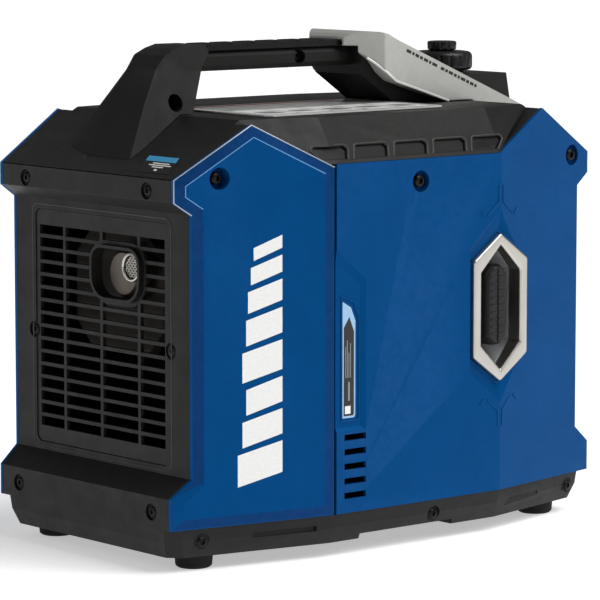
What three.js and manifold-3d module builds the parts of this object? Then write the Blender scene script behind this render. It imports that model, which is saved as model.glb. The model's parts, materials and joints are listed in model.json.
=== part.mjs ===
// A closed, portable inverter generator: moulded shell, carry handle, engine, alternator and outlets.
// Millimetres, +Z up. The exhaust end faces -X, the recoil starter faces -Y, the feet stand on z = 0.
import * as THREE from 'three';
import { mergeVertices } from 'three/addons/utils/BufferGeometryUtils.js';
import Module from 'manifold-3d';

const wasm = await Module();
wasm.setup();

// ---------------------------------------------------------------- driving sizes
const gap = 0.4; // space left between two pieces that rest on each other
const wall = 4; // thickness of the moulded shell
const bodyLength = 540; // bumper face to bumper face
const bodyWidth = 334; // across the middle of the side panels
const deckHeight = 419; // top deck above the floor
const footHeight = 14;
const trayHeight = 28; // base tray, floor to rim
const endTaper = 28; // how far each side draws in towards the ends
const endInset = 22; // how far the end walls stand behind the lower bumpers
const shoulderDrop = 51; // end shoulders below the deck
const stripDrop = 43; // lower edge of the top strip below the deck
const stripLean = 26; // how far the top strip leans in
const padRise = 3; // height of the raised pads on the side panels
const handleHeight = 65; // grip top above the deck
const legSetBack = 30; // inner edge of the front handle leg, from the end of the deck
const fillerOverhang = 10; // fuel filler, beyond the other end of the deck
const crankHeight = 172; // crankshaft above the floor
const ropeRadius = 52; // where the rope winds on the pulley
const wellX = 117; // recoil starter well, from the middle; the side is straight from the seam to here
const wellHeight = 147; // height of the hexagonal bezel
const wellWidth = 72; // width of the hexagonal bezel
const bezelDepth = 12; // from the panel's face to the back of the bezel

// ---------------------------------------------------------------- sizes worked out from them
const halfLength = bodyLength / 2;
const halfWidth = bodyWidth / 2;
const trayTop = footHeight + trayHeight;
const panelFoot = trayTop + gap;
const waistX = halfLength - endInset; // plane of the end walls
const upperX = halfLength - 4; // plane of the upper bumpers
const shoulder = deckHeight - shoulderDrop; // parting line under the top cover
const stripFoot = deckHeight - stripDrop;
const deckHalf = upperX - 86; // half the length of the flat deck
const lowerBumperTop = trayTop + 30;
const waistFoot = lowerBumperTop + 17;
const upperBumperFoot = shoulder - 21;
const waistTop = upperBumperFoot - 12;
const handleX = legSetBack - deckHalf;
const fillerX = deckHalf + fillerOverhang;
const rearLegX = fillerX - 140; // where the bar meets the rear leg
const seamX = -97; // seam between the pad panel and the long panel
const seamGap = 3;
const padApexX = deckHalf + 6;
const padApexZ = deckHeight - 3;
const wellZ = crankHeight + ropeRadius; // the rope leaves the pulley level with the well
const gripTop = deckHeight + handleHeight;
const barTop = gripTop - 7;
const barFoot = barTop - 19;
const neckRadius = 21;
const windowHalf = 104; // half the width of the end windows
const windowFoot = waistFoot + 8;
const windowTop = waistTop - 10;

// ---------------------------------------------------------------- finishes
const finish = (hex, roughness, metalness = 0) => ({ hex, roughness, metalness });
const finishes = {
  blue: finish('#0b4f91', 0.32, 0.15),
  black: finish('#262625', 0.55),
  black_satin: finish('#1c1c1c', 0.4),
  rubber: finish('#181818', 0.9),
  silver: finish('#c6c6c2', 0.35, 0.25),
  chrome: finish('#d9d6cf', 0.2, 0.85),
  steel: finish('#8b8d8f', 0.4, 0.9),
  dark_steel: finish('#4a4845', 0.55, 0.8),
  alloy: finish('#a2a4a3', 0.5, 0.8),
  copper: finish('#a05a2c', 0.45, 0.7),
  pale_gloss: finish('#d8d9d6', 0.4),
  grey_plastic: finish('#55585a', 0.5),
  white_plastic: finish('#e4e4df', 0.45),
  red: finish('#b3221c', 0.4),
  rope: finish('#20211f', 0.85),
};

const group = new THREE.Group();
group.name = 'inverter_generator';

// ---------------------------------------------------------------- solid helpers
function toManifold(geometry) {
  const bare = geometry.clone();
  bare.deleteAttribute('normal');
  bare.deleteAttribute('uv');
  const merged = mergeVertices(bare, 1e-4);
  return new wasm.Manifold(new wasm.Mesh({
    numProp: 3,
    vertProperties: new Float32Array(merged.attributes.position.array),
    triVerts: new Uint32Array(merged.index.array),
  }));
}

function toGeometry(body) {
  const mesh = body.getMesh();
  const geometry = new THREE.BufferGeometry();
  geometry.setAttribute('position', new THREE.BufferAttribute(new Float32Array(mesh.vertProperties), 3));
  geometry.setIndex(new THREE.BufferAttribute(new Uint32Array(mesh.triVerts), 1));
  geometry.computeVertexNormals();
  return geometry;
}

const join = (...bodies) => bodies.reduce((sum, body) => sum.add(body));
const cut = (body, ...tools) => tools.reduce((rest, tool) => rest.subtract(tool), body);
const common = (a, b) => a.intersect(b);

// A closed skin over rings of points: each ring is joined to the next, and both end rings are capped.
function skin(rings) {
  const count = rings[0].length;
  const positions = rings.flat().flatMap((p) => [p.x, p.y, p.z]);
  const triangles = [];
  for (let r = 0; r + 1 < rings.length; r += 1) {
    for (let i = 0; i < count; i += 1) {
      const a = r * count + i;
      const b = r * count + ((i + 1) % count);
      triangles.push([a, b, b + count], [a, b + count, a + count]);
    }
  }
  capTriangles(rings[0]).forEach(([a, b, c]) => triangles.push([c, b, a]));
  const last = (rings.length - 1) * count;
  capTriangles(rings.at(-1)).forEach(([a, b, c]) => triangles.push([a + last, b + last, c + last]));
  const outward = signedVolume(positions, triangles) > 0;
  const geometry = new THREE.BufferGeometry();
  geometry.setAttribute('position', new THREE.Float32BufferAttribute(positions, 3));
  geometry.setIndex(triangles.flatMap(([a, b, c]) => (outward ? [a, b, c] : [a, c, b])));
  return toManifold(geometry);
}

// Triangles over one flat ring, wound the same way round as the ring itself.
function capTriangles(ring) {
  const normal = new THREE.Vector3();
  ring.forEach((p, i) => normal.add(new THREE.Vector3().crossVectors(p, ring[(i + 1) % ring.length])));
  const size = [Math.abs(normal.x), Math.abs(normal.y), Math.abs(normal.z)];
  const drop = size.indexOf(Math.max(...size));
  const flat = ring.map((p) => new THREE.Vector2(...[p.x, p.y, p.z].filter((_, axis) => axis !== drop)));
  const area = THREE.ShapeUtils.area(flat);
  const faces = THREE.ShapeUtils.triangulateShape(flat, []);
  return faces.map(([a, b, c]) => {
    const turn = THREE.ShapeUtils.area([flat[a], flat[b], flat[c]]);
    return turn * area > 0 ? [a, b, c] : [a, c, b];
  });
}

function signedVolume(positions, triangles) {
  const point = (i) => new THREE.Vector3(...positions.slice(3 * i, 3 * i + 3));
  return triangles.reduce((sum, [a, b, c]) => sum + point(a).dot(point(b).cross(point(c))), 0);
}

// A point of an outline, lifted onto the plane at a given distance along an axis.
const lift = {
  x: ([y, z], x) => new THREE.Vector3(x, y, z),
  y: ([x, z], y) => new THREE.Vector3(x, y, z),
  z: ([x, y], z) => new THREE.Vector3(x, y, z),
};

const lifted = (axis, outline, at) => outline.map((p) => lift[axis](p, at));
const loft = (axis, ...sections) => skin(sections.map(([outline, at]) => lifted(axis, outline, at)));
const prism = (outline, axis, from, to) => loft(axis, [outline, from], [outline, to]);
const rectangle = (a0, a1, b0, b1) => [[a0, b0], [a1, b0], [a1, b1], [a0, b1]];
const block = (x0, x1, y0, y1, z0, z1) => prism(rectangle(x0, x1, y0, y1), 'z', z0, z1);

function circle(radius, [a, b] = [0, 0], segments = 20) {
  return Array.from({ length: segments }, (_, i) => {
    const turn = ((i + 0.5) / segments) * 2 * Math.PI;
    return [a + radius * Math.cos(turn), b + radius * Math.sin(turn)];
  });
}

function rod(radius, axis, centre, from, to, segments) {
  return prism(circle(radius, centre, segments), axis, from, to);
}

// A turned piece: [distance along the axis, radius] pairs, from one flat end to the other.
function turned(axis, centre, profile, segments) {
  return loft(axis, ...profile.map(([at, radius]) => [circle(radius, centre, segments), at]));
}

// A rectangle with its corners cut off.
function chamfered(a0, a1, b0, b1, c) {
  return [[a0 + c, b0], [a1 - c, b0], [a1, b0 + c], [a1, b1 - c],
    [a1 - c, b1], [a0 + c, b1], [a0, b1 - c], [a0, b0 + c]];
}

// An outline drawn in by the same distance along every edge.
function drawnIn(outline, distance) {
  const points = outline.map(([a, b]) => new THREE.Vector2(a, b));
  const side = Math.sign(THREE.ShapeUtils.area(points));
  const edges = points.map((p, i) => {
    const along = points[(i + 1) % points.length].clone().sub(p).normalize();
    const inward = new THREE.Vector2(-along.y, along.x).multiplyScalar(side * distance);
    return { start: p.clone().add(inward), along };
  });
  return edges.map((edge, i) => {
    const before = edges[(i + edges.length - 1) % edges.length];
    const offset = edge.start.clone().sub(before.start);
    const t = offset.cross(edge.along) / before.along.cross(edge.along);
    return [before.start.x + before.along.x * t, before.start.y + before.along.y * t];
  });
}

const mirroredX = (outline) => outline.map(([x, z]) => [-x, z]).reverse();

function add(name, body, look, place) {
  const { hex, roughness, metalness } = finishes[look];
  const material = new THREE.MeshStandardMaterial({ color: hex, roughness, metalness });
  const mesh = new THREE.Mesh(toGeometry(body), material);
  mesh.name = name;
  if (place) mesh.position.set(...place);
  group.add(mesh);
}

// Far-side pieces are the near-side ones turned half round about the vertical or mirrored across y = 0.
const mirrorY = (body) => body.mirror([0, 1, 0]);

// ---------------------------------------------------------------- the shell's plan and side outline
// Half the body's width at x, with the sides drawn in beyond the seam at one end and the well at the other.
function sideAt(x) {
  const [middleEnd, beyond] = x < 0 ? [-seamX, seamX - x] : [wellX, x - wellX];
  return halfWidth - (endTaper * Math.max(0, beyond)) / (waistX + 2 - middleEnd);
}

// The shell's plan: flat middle and two drawn-in ends on each side.
function plan(half, inset) {
  const xs = [-half, seamX, wellX, half];
  const near = xs.map((x) => [x, inset - sideAt(x)]);
  const far = xs.toReversed().map((x) => [x, sideAt(x) - inset]);
  return [...near, ...far];
}

// Upright outline of a side's exhaust-end edge, from the base up to the peak beside the deck.
const endEdge = [
  [-halfLength, panelFoot], [-halfLength, lowerBumperTop], [-waistX, waistFoot], [-waistX, waistTop],
  [-upperX, upperBumperFoot], [-upperX, shoulder], [-padApexX, padApexZ],
];
const stripEnds = [82 - padApexX, padApexX - 72]; // where the slanted pad edges meet the strip

// ---------------------------------------------------------------- base
function baseTray() {
  const corner = 12;
  const footprint = (inset) => {
    const [nearLeft, a, b, nearRight, farRight, c, d, farLeft] = plan(halfLength - inset, inset);
    return [[nearLeft[0], nearLeft[1] + corner], [nearLeft[0] + corner, nearLeft[1]], a, b,
      [nearRight[0] - corner, nearRight[1]], [nearRight[0], nearRight[1] + corner],
      [farRight[0], farRight[1] - corner], [farRight[0] - corner, farRight[1]], c, d,
      [farLeft[0] + corner, farLeft[1]], [farLeft[0], farLeft[1] - corner]];
  };
  const lean = 9;
  const middle = footHeight + trayHeight * 0.55;
  const outer = loft('z', [footprint(lean), footHeight], [footprint(3), middle], [footprint(1.5), trayTop]);
  const inner = loft('z', [footprint(lean + wall), footHeight + wall], [footprint(3 + wall), middle],
    [footprint(1.5 + wall), trayTop + 1]);
  const notch = block(-60, 60, -halfWidth, halfWidth, footHeight - 1, footHeight + 5);
  const rails = [-95, 95].map((y) => block(-150, 120, y - 14, y + 14, footHeight + 2, footHeight + 12));
  const notchFloor = common(outer, block(-64, 64, -halfWidth, halfWidth, footHeight + 5, footHeight + 9));
  const core = prism(plan(halfLength, 5.4), 'z', 0, trayTop + 2);
  const across = halfWidth + 5;
  const marks = [[-235, 29], [32, 28], [240, 29]].map((spot) => rod(8, 'y', spot, -across, across, 16));
  marks.push(block(-183, -115, -across, across, 28, 33));
  marks.push(prism([[124, 20], [138, 31.5], [186, 31.5], [194, 20]], 'y', -across, across));
  const tray = cut(join(cut(outer, inner), ...rails), notch, ...marks.map((mark) => cut(mark, core)));
  add('base_tray', join(tray, notchFloor), 'black');
}

function feet() {
  const spots = [[-222, -108], [222, -108], [-222, 108], [222, 108]];
  const foot = turned('z', [0, 0], [[0, 15], [2, 17.5], [footHeight - gap, 18.5]]);
  spots.forEach(([x, y], i) => add(`foot_${i + 1}`, foot, 'rubber', [x, y, 0]));
}

// ---------------------------------------------------------------- ends
// Screws that hold an end cover: distance from the middle, height and face of each pair.
const endScrews = [[105, 57, halfLength], [107, 206, waistX], [95, 356, upperX]];
const endSeats = endScrews.flatMap(([y, z, at]) => [-y, y].map(
  (side) => rod(8, 'x', [side, z], -at - 8, 2.8 - at, 16)));

// The bent end wall, from the base tray up to the parting line, with a window in it.
function endShell(toControlEnd) {
  const outer = endEdge.slice(0, 6).map(([x, z]) => [x, Math.min(z, shoulder - gap)]);
  const inner = outer.map(([x, z], i) => [x + wall, z + [0, -2, -2, 2, 2, 0][i]]).reverse();
  const sheet = prism([...outer, ...inner], 'y', -halfWidth, halfWidth);
  const between = prism(plan(halfLength + 1, wall + gap), 'z', 0, deckHeight);
  const opening = prism(chamfered(-windowHalf, windowHalf, windowFoot, windowTop, 5), 'x', -halfLength, 0);
  const wallPiece = cut(sheet, opening, ...endSeats);
  return common(toControlEnd ? wallPiece.mirror([1, 0, 0]) : wallPiece, between);
}

const windowPlate = (front) => prism(
  drawnIn(chamfered(-windowHalf, windowHalf, windowFoot, windowTop, 5), gap), 'x', front, front + wall);

// A rectangle with round corners: one radius at the foot and another at the top.
function rounded(a0, a1, b0, b1, footRadius, topRadius, steps = 4) {
  const corner = (a, b, radius, start) => Array.from({ length: steps + 1 }, (_, i) => {
    const turn = start + (i / steps) * (Math.PI / 2);
    return [a + radius * Math.cos(turn), b + radius * Math.sin(turn)];
  });
  const [f, t] = [footRadius, topRadius];
  return [...corner(a0 + f, b0 + f, f, Math.PI), ...corner(a1 - f, b0 + f, f, 1.5 * Math.PI),
    ...corner(a1 - t, b1 - t, t, 0), ...corner(a0 + t, b1 - t, t, Math.PI / 2)];
}

// The exhaust port's outline in the grille, rounder at the foot.
function portOutline(grow) {
  return rounded(-62 - grow, 9 + grow, 248 - grow, 295 + grow, 19 + grow, 13 + grow);
}

function exhaustGrille() {
  const front = -waistX + 1;
  const rows = 16;
  const pitch = 12.5;
  const slotHeight = 9;
  const columns = [[-98, -60.5], [-56.5, -2], [2, 56.5], [60.5, 98]];
  const firstRow = (windowFoot + windowTop) / 2 - (rows * pitch) / 2;
  const slots = [];
  for (let row = 0; row < rows; row += 1) {
    const foot = firstRow + (row + 0.5) * pitch - slotHeight / 2;
    columns.forEach(([y0, y1]) => slots.push(block(front - 1, front + 9, y0, y1, foot, foot + slotHeight)));
  }
  const kept = prism(portOutline(7), 'x', front - 2, front + 10);
  const rim = cut(prism(portOutline(3), 'x', front - 5, front + 8),
    prism(portOutline(0), 'x', front - 6, front + 9));
  const open = slots.map((slot) => cut(slot, kept));
  const port = prism(portOutline(2), 'x', front - 2, front + 10);
  const plate = cut(windowPlate(front), port, ...open, ...endSeats);
  add('exhaust_grille', join(plate, rim), 'black');
}

function ends() {
  add('exhaust_end_cover', endShell(false), 'black');
  add('control_end_cover', endShell(true), 'black');
  exhaustGrille();
}

// ---------------------------------------------------------------- side panels
// Everything that stands between two plan outlines on the near side.
function sideBand(outerInset, innerInset) {
  const half = halfLength + 20;
  const band = cut(prism(plan(half, outerInset), 'z', 0, deckHeight + 60),
    prism(plan(half + 1, innerInset), 'z', -1, deckHeight + 61));
  return common(band, block(-half, half, -halfWidth - 40, 0, 0, deckHeight + 60));
}

// A sunk screw seat in the near side panel, with a boss behind it.
function seated(panel, outline, [x, z], depth = 7) {
  const face = -sideAt(x);
  const clear = prism(drawnIn(outline, wall + 2 * gap), 'y', -halfWidth - 20, 0);
  const boss = common(rod(bossRadius, 'y', [x, z], face + wall - 1, face + depth + 6), clear);
  const pocket = rod(10.5, 'y', [x, z], face - padRise - 3, face + depth);
  const hole = rod(3.2, 'y', [x, z], face, face + depth + 8, 12);
  return cut(join(panel, boss), pocket, hole);
}

const bossRadius = 14;
const padScrew = [-221, shoulder];
const panelScrews = [[11, stripFoot - 22], [238, shoulder - 2]];

function padPanel() {
  const edge = seamX - seamGap / 2;
  const slope = (padApexZ - stripFoot) / (padApexX + stripEnds[0]);
  const outline = [...endEdge, [edge, padApexZ - slope * (edge + padApexX)], [edge, panelFoot]];
  const sheet = common(sideBand(0, wall), prism(outline, 'y', -halfWidth - 20, 0));
  const onFace = (points, rise) => points.map(([x, z]) => new THREE.Vector3(x, -sideAt(x) - rise, z));
  const reach = outline.map(([x, z]) => [Math.min(x, seamX - seamGap), z]);
  const pad = skin([onFace(reach, -0.5), onFace(drawnIn(reach, 1), 0.4),
    onFace(drawnIn(reach, 10), padRise)]);
  return seated(join(sheet, pad), outline, padScrew);
}

// The hexagon of the recoil bezel, grown or drawn in.
function hexagon(grow) {
  const point = 26;
  const [half, tall] = [wellWidth / 2 + grow, wellHeight / 2 + grow * 1.2];
  return [[wellX, wellZ - tall], [wellX + half, wellZ - tall + point], [wellX + half, wellZ + tall - point],
    [wellX, wellZ + tall], [wellX - half, wellZ + tall - point], [wellX - half, wellZ - tall + point]];
}

function servicePanel(withWell) {
  const edge = seamX + seamGap / 2;
  const outline = [[edge, panelFoot], [edge, stripFoot], [stripEnds[1], stripFoot],
    ...mirroredX(endEdge)];
  let panel = common(sideBand(0, wall), prism(outline, 'y', -halfWidth - 20, 0));
  panelScrews.forEach((spot) => { panel = seated(panel, outline, spot); });
  const slots = Array.from({ length: 5 }, (_, i) => {
    const z = 59 + 14 * i;
    return block(edge + 10, edge + 37, -halfWidth - 2, -halfWidth + wall + 2, z - 3, z + 3);
  });
  const nook = loft('y',
    [[[edge - 1, 120], [edge + 38, 120], [edge + 38, 266], [edge - 1, 298]], -halfWidth - 0.5],
    [[[edge - 1, 125], [edge + 31, 125], [edge + 31, 261], [edge - 1, 286]], -halfWidth + 2.2]);
  panel = cut(panel, ...slots, nook);
  if (!withWell) return panel;
  const sunk = loft('y', [[[wellX, wellZ - 96], [wellX + 41, wellZ - 63], [wellX + 41, wellZ + 62],
    [wellX, wellZ + 98], [wellX - 41, wellZ + 62], [wellX - 41, wellZ - 63]], -halfWidth - 0.5],
  [hexagon(3), -halfWidth + 5]);
  const behind = common(sideBand(wall - 1, wall + 4), prism(hexagon(22), 'y', -halfWidth, 0));
  const opening = prism(hexagon(gap), 'y', -halfWidth - 20, 0);
  return cut(join(panel, behind), sunk, opening);
}

// A long side panel for the far side, with a louvred air intake in place of the starter.
function intakePanel() {
  const louvres = Array.from({ length: 9 }, (_, i) => {
    const z = 110 + 16 * i;
    return block(-40, 90, -halfWidth - 2, -halfWidth + wall + 2, z - 4, z + 4);
  });
  return mirrorY(cut(servicePanel(false), ...louvres));
}

function sides() {
  add('pad_panel_near', padPanel(), 'blue');
  add('service_panel_near', servicePanel(true), 'blue');
  add('pad_panel_far', mirrorY(padPanel()), 'blue');
  add('service_panel_far', intakePanel(), 'blue');
  const screw = turned('y', [0, 0], [[0, 5], [1.2, 6], [3.4, 6], [3.5, 2.6], [12, 2.6]], 12);
  const spots = [padScrew, ...panelScrews];
  spots.forEach(([x, z], i) => {
    const seat = 7 - sideAt(x) - 3.4 - gap;
    add(`panel_screw_${i + 1}`, screw, 'dark_steel', [x, seat, z]);
  });
}

// ---------------------------------------------------------------- top cover and deck
// The height of the sloping end of the cover at a distance x from the middle.
function slopeAt(x) {
  return deckHeight - Math.max(0, Math.abs(x) - deckHalf) * (shoulderDrop / (upperX - deckHalf));
}

// The cover's outside, or its hollow when drawn in: a body that leans in towards the deck, a roof behind
// each peaked pad, and a strip between the pads that stands out to the line of the side panels.
function topEnvelope(inset) {
  const low = shoulder + gap - (inset ? 1 : 0);
  const side = wall + gap + inset;
  const ledge = stripFoot + gap;
  const half = upperX - inset;
  const upright = (outline) => prism(outline, 'y', -halfWidth, halfWidth);
  const edge = shoulder + gap - inset;
  const profile = upright([[-half, low - 30], [-half, edge], [-deckHalf, deckHeight - inset],
    [deckHalf, deckHeight - inset], [half, edge], [half, low - 30]]);
  const leaning = loft('z', [plan(halfLength, side), low], [plan(halfLength, side), ledge],
    [plan(halfLength, stripLean + inset), deckHeight + 0.01]);
  const peak = padApexZ - gap - inset * 1.2;
  const [from, to] = stripEnds;
  const roof = upright([[-half, low - 10], [-half, edge], [-padApexX, peak], [from, ledge - inset],
    [to, ledge - inset], [padApexX, peak], [half, edge], [half, low - 10]]);
  const behindPads = common(roof, prism(plan(halfLength, side), 'z', low, deckHeight));
  const body = common(join(leaning, behindPads), profile);
  if (inset) return body;
  const between = upright([[from + gap, ledge], [gap - padApexX, padApexZ + gap + 3],
    [padApexX - gap, padApexZ + gap + 3], [to - gap, ledge]]);
  const strip = loft('z', [plan(halfLength, 0), ledge], [plan(halfLength, stripLean), deckHeight + 0.01]);
  return join(body, common(common(strip, between), profile));
}

function scoops() {
  const [count, pitch, first] = [5, 50.5, -102];
  const lean = stripLean / stripDrop;
  return Array.from({ length: count }, (_, i) => {
    const x = first + pitch * i;
    const [foot, top] = [stripFoot + 4, stripFoot + 16];
    const [lowStart, lowEnd] = [i ? -20 : -7, i < count - 1 ? 21 : 12];
    const outline = [[x + lowStart, foot], [x + lowEnd, foot], [x + 25, top - 3], [x + 22, top],
      [x - 12, top], [x - 15, top - 3]];
    return skin([-3, 2.5].map((depth) => outline.map(([a, z]) => new THREE.Vector3(
      a, depth - Math.min(sideAt(a), halfWidth) + (z - stripFoot) * lean, z))));
  });
}

function topCover() {
  const filler = rod(neckRadius + 2.5, 'z', [fillerX, 0], deckHeight - 30, deckHeight + 10, 24);
  const bossRoom = [padScrew, panelScrews[1]].map(
    (spot) => rod(bossRadius + gap, 'y', spot, -halfWidth, halfWidth));
  const hollows = [...scoops(), ...scoops().map(mirrorY)];
  add('top_cover', cut(topEnvelope(0), topEnvelope(wall), filler, ...bossRoom, ...hollows), 'black');
  const outline = chamfered(handleX + 12, rearLegX + 38, -118, 118, 6);
  add('deck_plate', prism(outline, 'z', deckHeight + gap, deckHeight + 2), 'pale_gloss');
}

// ---------------------------------------------------------------- carry handle
const barHalf = 20;
const rearHalf = 35.6;
const blockTop = deckHeight + 25;

// The front leg: an arch outline, flared in plan towards its foot, creased on the far side.
function frontLeg() {
  const rest = gap + 0.2;
  const [toe, knee] = [-deckHalf - 66, -deckHalf - 24];
  const outline = [[toe, slopeAt(toe) + rest], [knee - 14, barFoot - 28], [knee, barFoot - 6],
    [knee + 9, barTop - 11], [knee + 18, barTop - 2], [knee + 29, barTop + 3.5], [knee + 41, gripTop],
    [handleX + 14, gripTop], [handleX + 17, barTop],
    [handleX + 7, barFoot + 5], [handleX - 14, deckHeight + rest], [-deckHalf, deckHeight + rest]];
  const faceX = (z) => toe - 1 + (z - slopeAt(toe)) * 0.53;
  const section = (z, near, crease, far) => [[
    [faceX(z), -near + 4], [faceX(z) + 13, -near], [handleX + 20, -near],
    [handleX + 20, far], [faceX(z) + 10, far], [faceX(z) + 1, crease]], z];
  const flare = loft('z', section(shoulder, 51, 24, 78), section(deckHeight, 37, 16, 50),
    section(barFoot + 2, 25, 9, 28), section(gripTop + 1, 21, 8, 23));
  const hollow = rod(8.5, 'y', [knee + 21, deckHeight + 11.5], -60, -14, 16);
  return cut(common(prism(outline, 'y', -70, 70), flare), hollow);
}

// The rear leg: it widens under the silver yoke into the block around the fuel filler.
function rearLeg() {
  const [x, end, rest] = [rearLegX, fillerX + 62, gap + 0.2];
  const outline = [[x, barTop], [x, barFoot - 9], [x + 43, deckHeight + rest], [deckHalf, deckHeight + rest],
    [end, slopeAt(end) + rest], [end + 6, slopeAt(end) + 10], [end - 5, blockTop], [fillerX - 40, blockTop],
    [x + 62, barTop - 7], [x + 48, barTop]];
  return prism(outline, 'y', -rearHalf, rearHalf);
}

function carryHandle() {
  const bar = prism(chamfered(-barHalf, barHalf, barFoot, barTop, 5), 'x', handleX, rearLegX + 10);
  const screwSeat = rod(7, 'y', [rearLegX - 67, barFoot + 10.5], -30, -12, 18);
  const filler = rod(neckRadius + 2.5, 'z', [fillerX, 0], shoulder, gripTop, 24);
  add('carry_handle', cut(join(frontLeg(), bar, rearLeg()), screwSeat, filler), 'black');
}

// A rubber pad on the bar, with shallow steps under the fingers.
function gripPad() {
  const [from, to, steps] = [handleX + 18, rearLegX - 10 - gap, 6];
  const pitch = (to - from) / steps;
  const top = [];
  for (let i = 0; i < steps; i += 1) {
    const x = from + i * pitch;
    top.push([x, gripTop - 2], [x + 4, gripTop], [x + pitch - 4, gripTop], [x + pitch - 1, gripTop - 2]);
  }
  const outline = [[to, barTop + gap], [from, barTop + gap], ...top];
  add('handle_grip_pad', prism(outline, 'y', -barHalf + 1, barHalf - 1), 'rubber');
}

// The silver yoke over the rear leg: a bridge on top and an arm down each side of the filler block.
function handleYoke() {
  const outer = 56;
  const top = gripTop + 7.5;
  const [x, tip, rest] = [rearLegX, fillerX + 62, gap + 0.2];
  const arm = [[x - 16, barTop + 0.4], [x - 16, top - 6], [x - 11, top - 1.5], [x - 2, top], [x + 10, top],
    [x + 18, top - 2],
    [x + 30, top - 8], [tip + 4, deckHeight - 9], [tip, slopeAt(tip) + rest], [deckHalf, deckHeight + rest],
    [x + 98, deckHeight + rest], [x + 28, deckHeight + 23], [x + 16, deckHeight + 32],
    [x + 6, deckHeight + 44]];
  const nose = [[x - 20, -22], [x + 14, -outer - 1], [tip + 9, -outer - 1], [tip + 9, outer + 1],
    [x + 14, outer + 1], [x - 20, 22]];
  const [low, high, under] = [shoulder - 60, top + 20, barTop + gap + 0.2];
  const inside = [[x - 50, low], [x - 50, under], [x + 47, under], [x + 47, high],
    [tip + 50, high], [tip + 50, low]];
  const padRoom = block(x - 50, x - 9.4, -barHalf - 2, barHalf + 2, barTop - 1, gripTop + gap);
  const body = common(prism(arm, 'y', -outer, outer), prism(nose, 'z', shoulder - 60, top + 1));
  add('handle_yoke', cut(body, prism(inside, 'y', -rearHalf - gap, rearHalf + gap), padRoom), 'silver');
}

// ---------------------------------------------------------------- fuel system
function fuelSystem() {
  const [foot, top] = [stripFoot - 50, deckHeight - 31];
  const end = fillerX + 42;
  const body = (skinned) => loft('z',
    [chamfered(skinned - 70, end - 4 - skinned, skinned - 112, 112 - skinned, 24), foot + skinned],
    [chamfered(skinned - 78, end - skinned, skinned - 122, 122 - skinned, 26), foot + 12 + skinned / 3],
    [chamfered(skinned - 78, end - 4 - skinned, skinned - 122, 122 - skinned, 26), top - 14 - skinned / 3],
    [chamfered(skinned - 66, end - 17 - skinned, skinned - 108, 108 - skinned, 22), top - skinned]);
  const mouth = rod(neckRadius - 4, 'z', [fillerX, 0], top - 6, top + 1, 20);
  add('fuel_tank', cut(body(0), body(3.5), mouth), 'black_satin');
  const rim = blockTop + 1;
  const [low, reach] = [top + gap, fillerX];
  const neck = turned('z', [reach, 0], [[low, neckRadius], [rim - 6, neckRadius],
    [rim - 5, neckRadius + 2], [rim, neckRadius + 2]], 24);
  const bore = rod(neckRadius - 3, 'z', [reach, 0], low - 1, rim + 1, 24);
  add('filler_neck', cut(neck, bore), 'steel');
  const gasket = cut(rod(neckRadius + 1.5, 'z', [reach, 0], rim + gap, rim + 2.5, 24),
    rod(neckRadius - 3, 'z', [reach, 0], rim, rim + 4, 24));
  add('cap_gasket', gasket, 'rubber');
  const lid = rim + 2.5 + gap;
  const cap = turned('z', [reach, 0], [[lid, 29], [lid + 2, 31], [lid + 15, 31],
    [lid + 18, 28.5], [lid + 19, 16]], 24);
  add('fuel_cap', cap, 'black_satin');
  const seat = lid + 19 + gap;
  const knob = turned('z', [reach, 0], [[seat, 12.5], [seat + 1, 14.5], [seat + 8, 15],
    [seat + 9.5, 13.5]], 16);
  add('cap_vent_knob', knob, 'black_satin');
}

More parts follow.
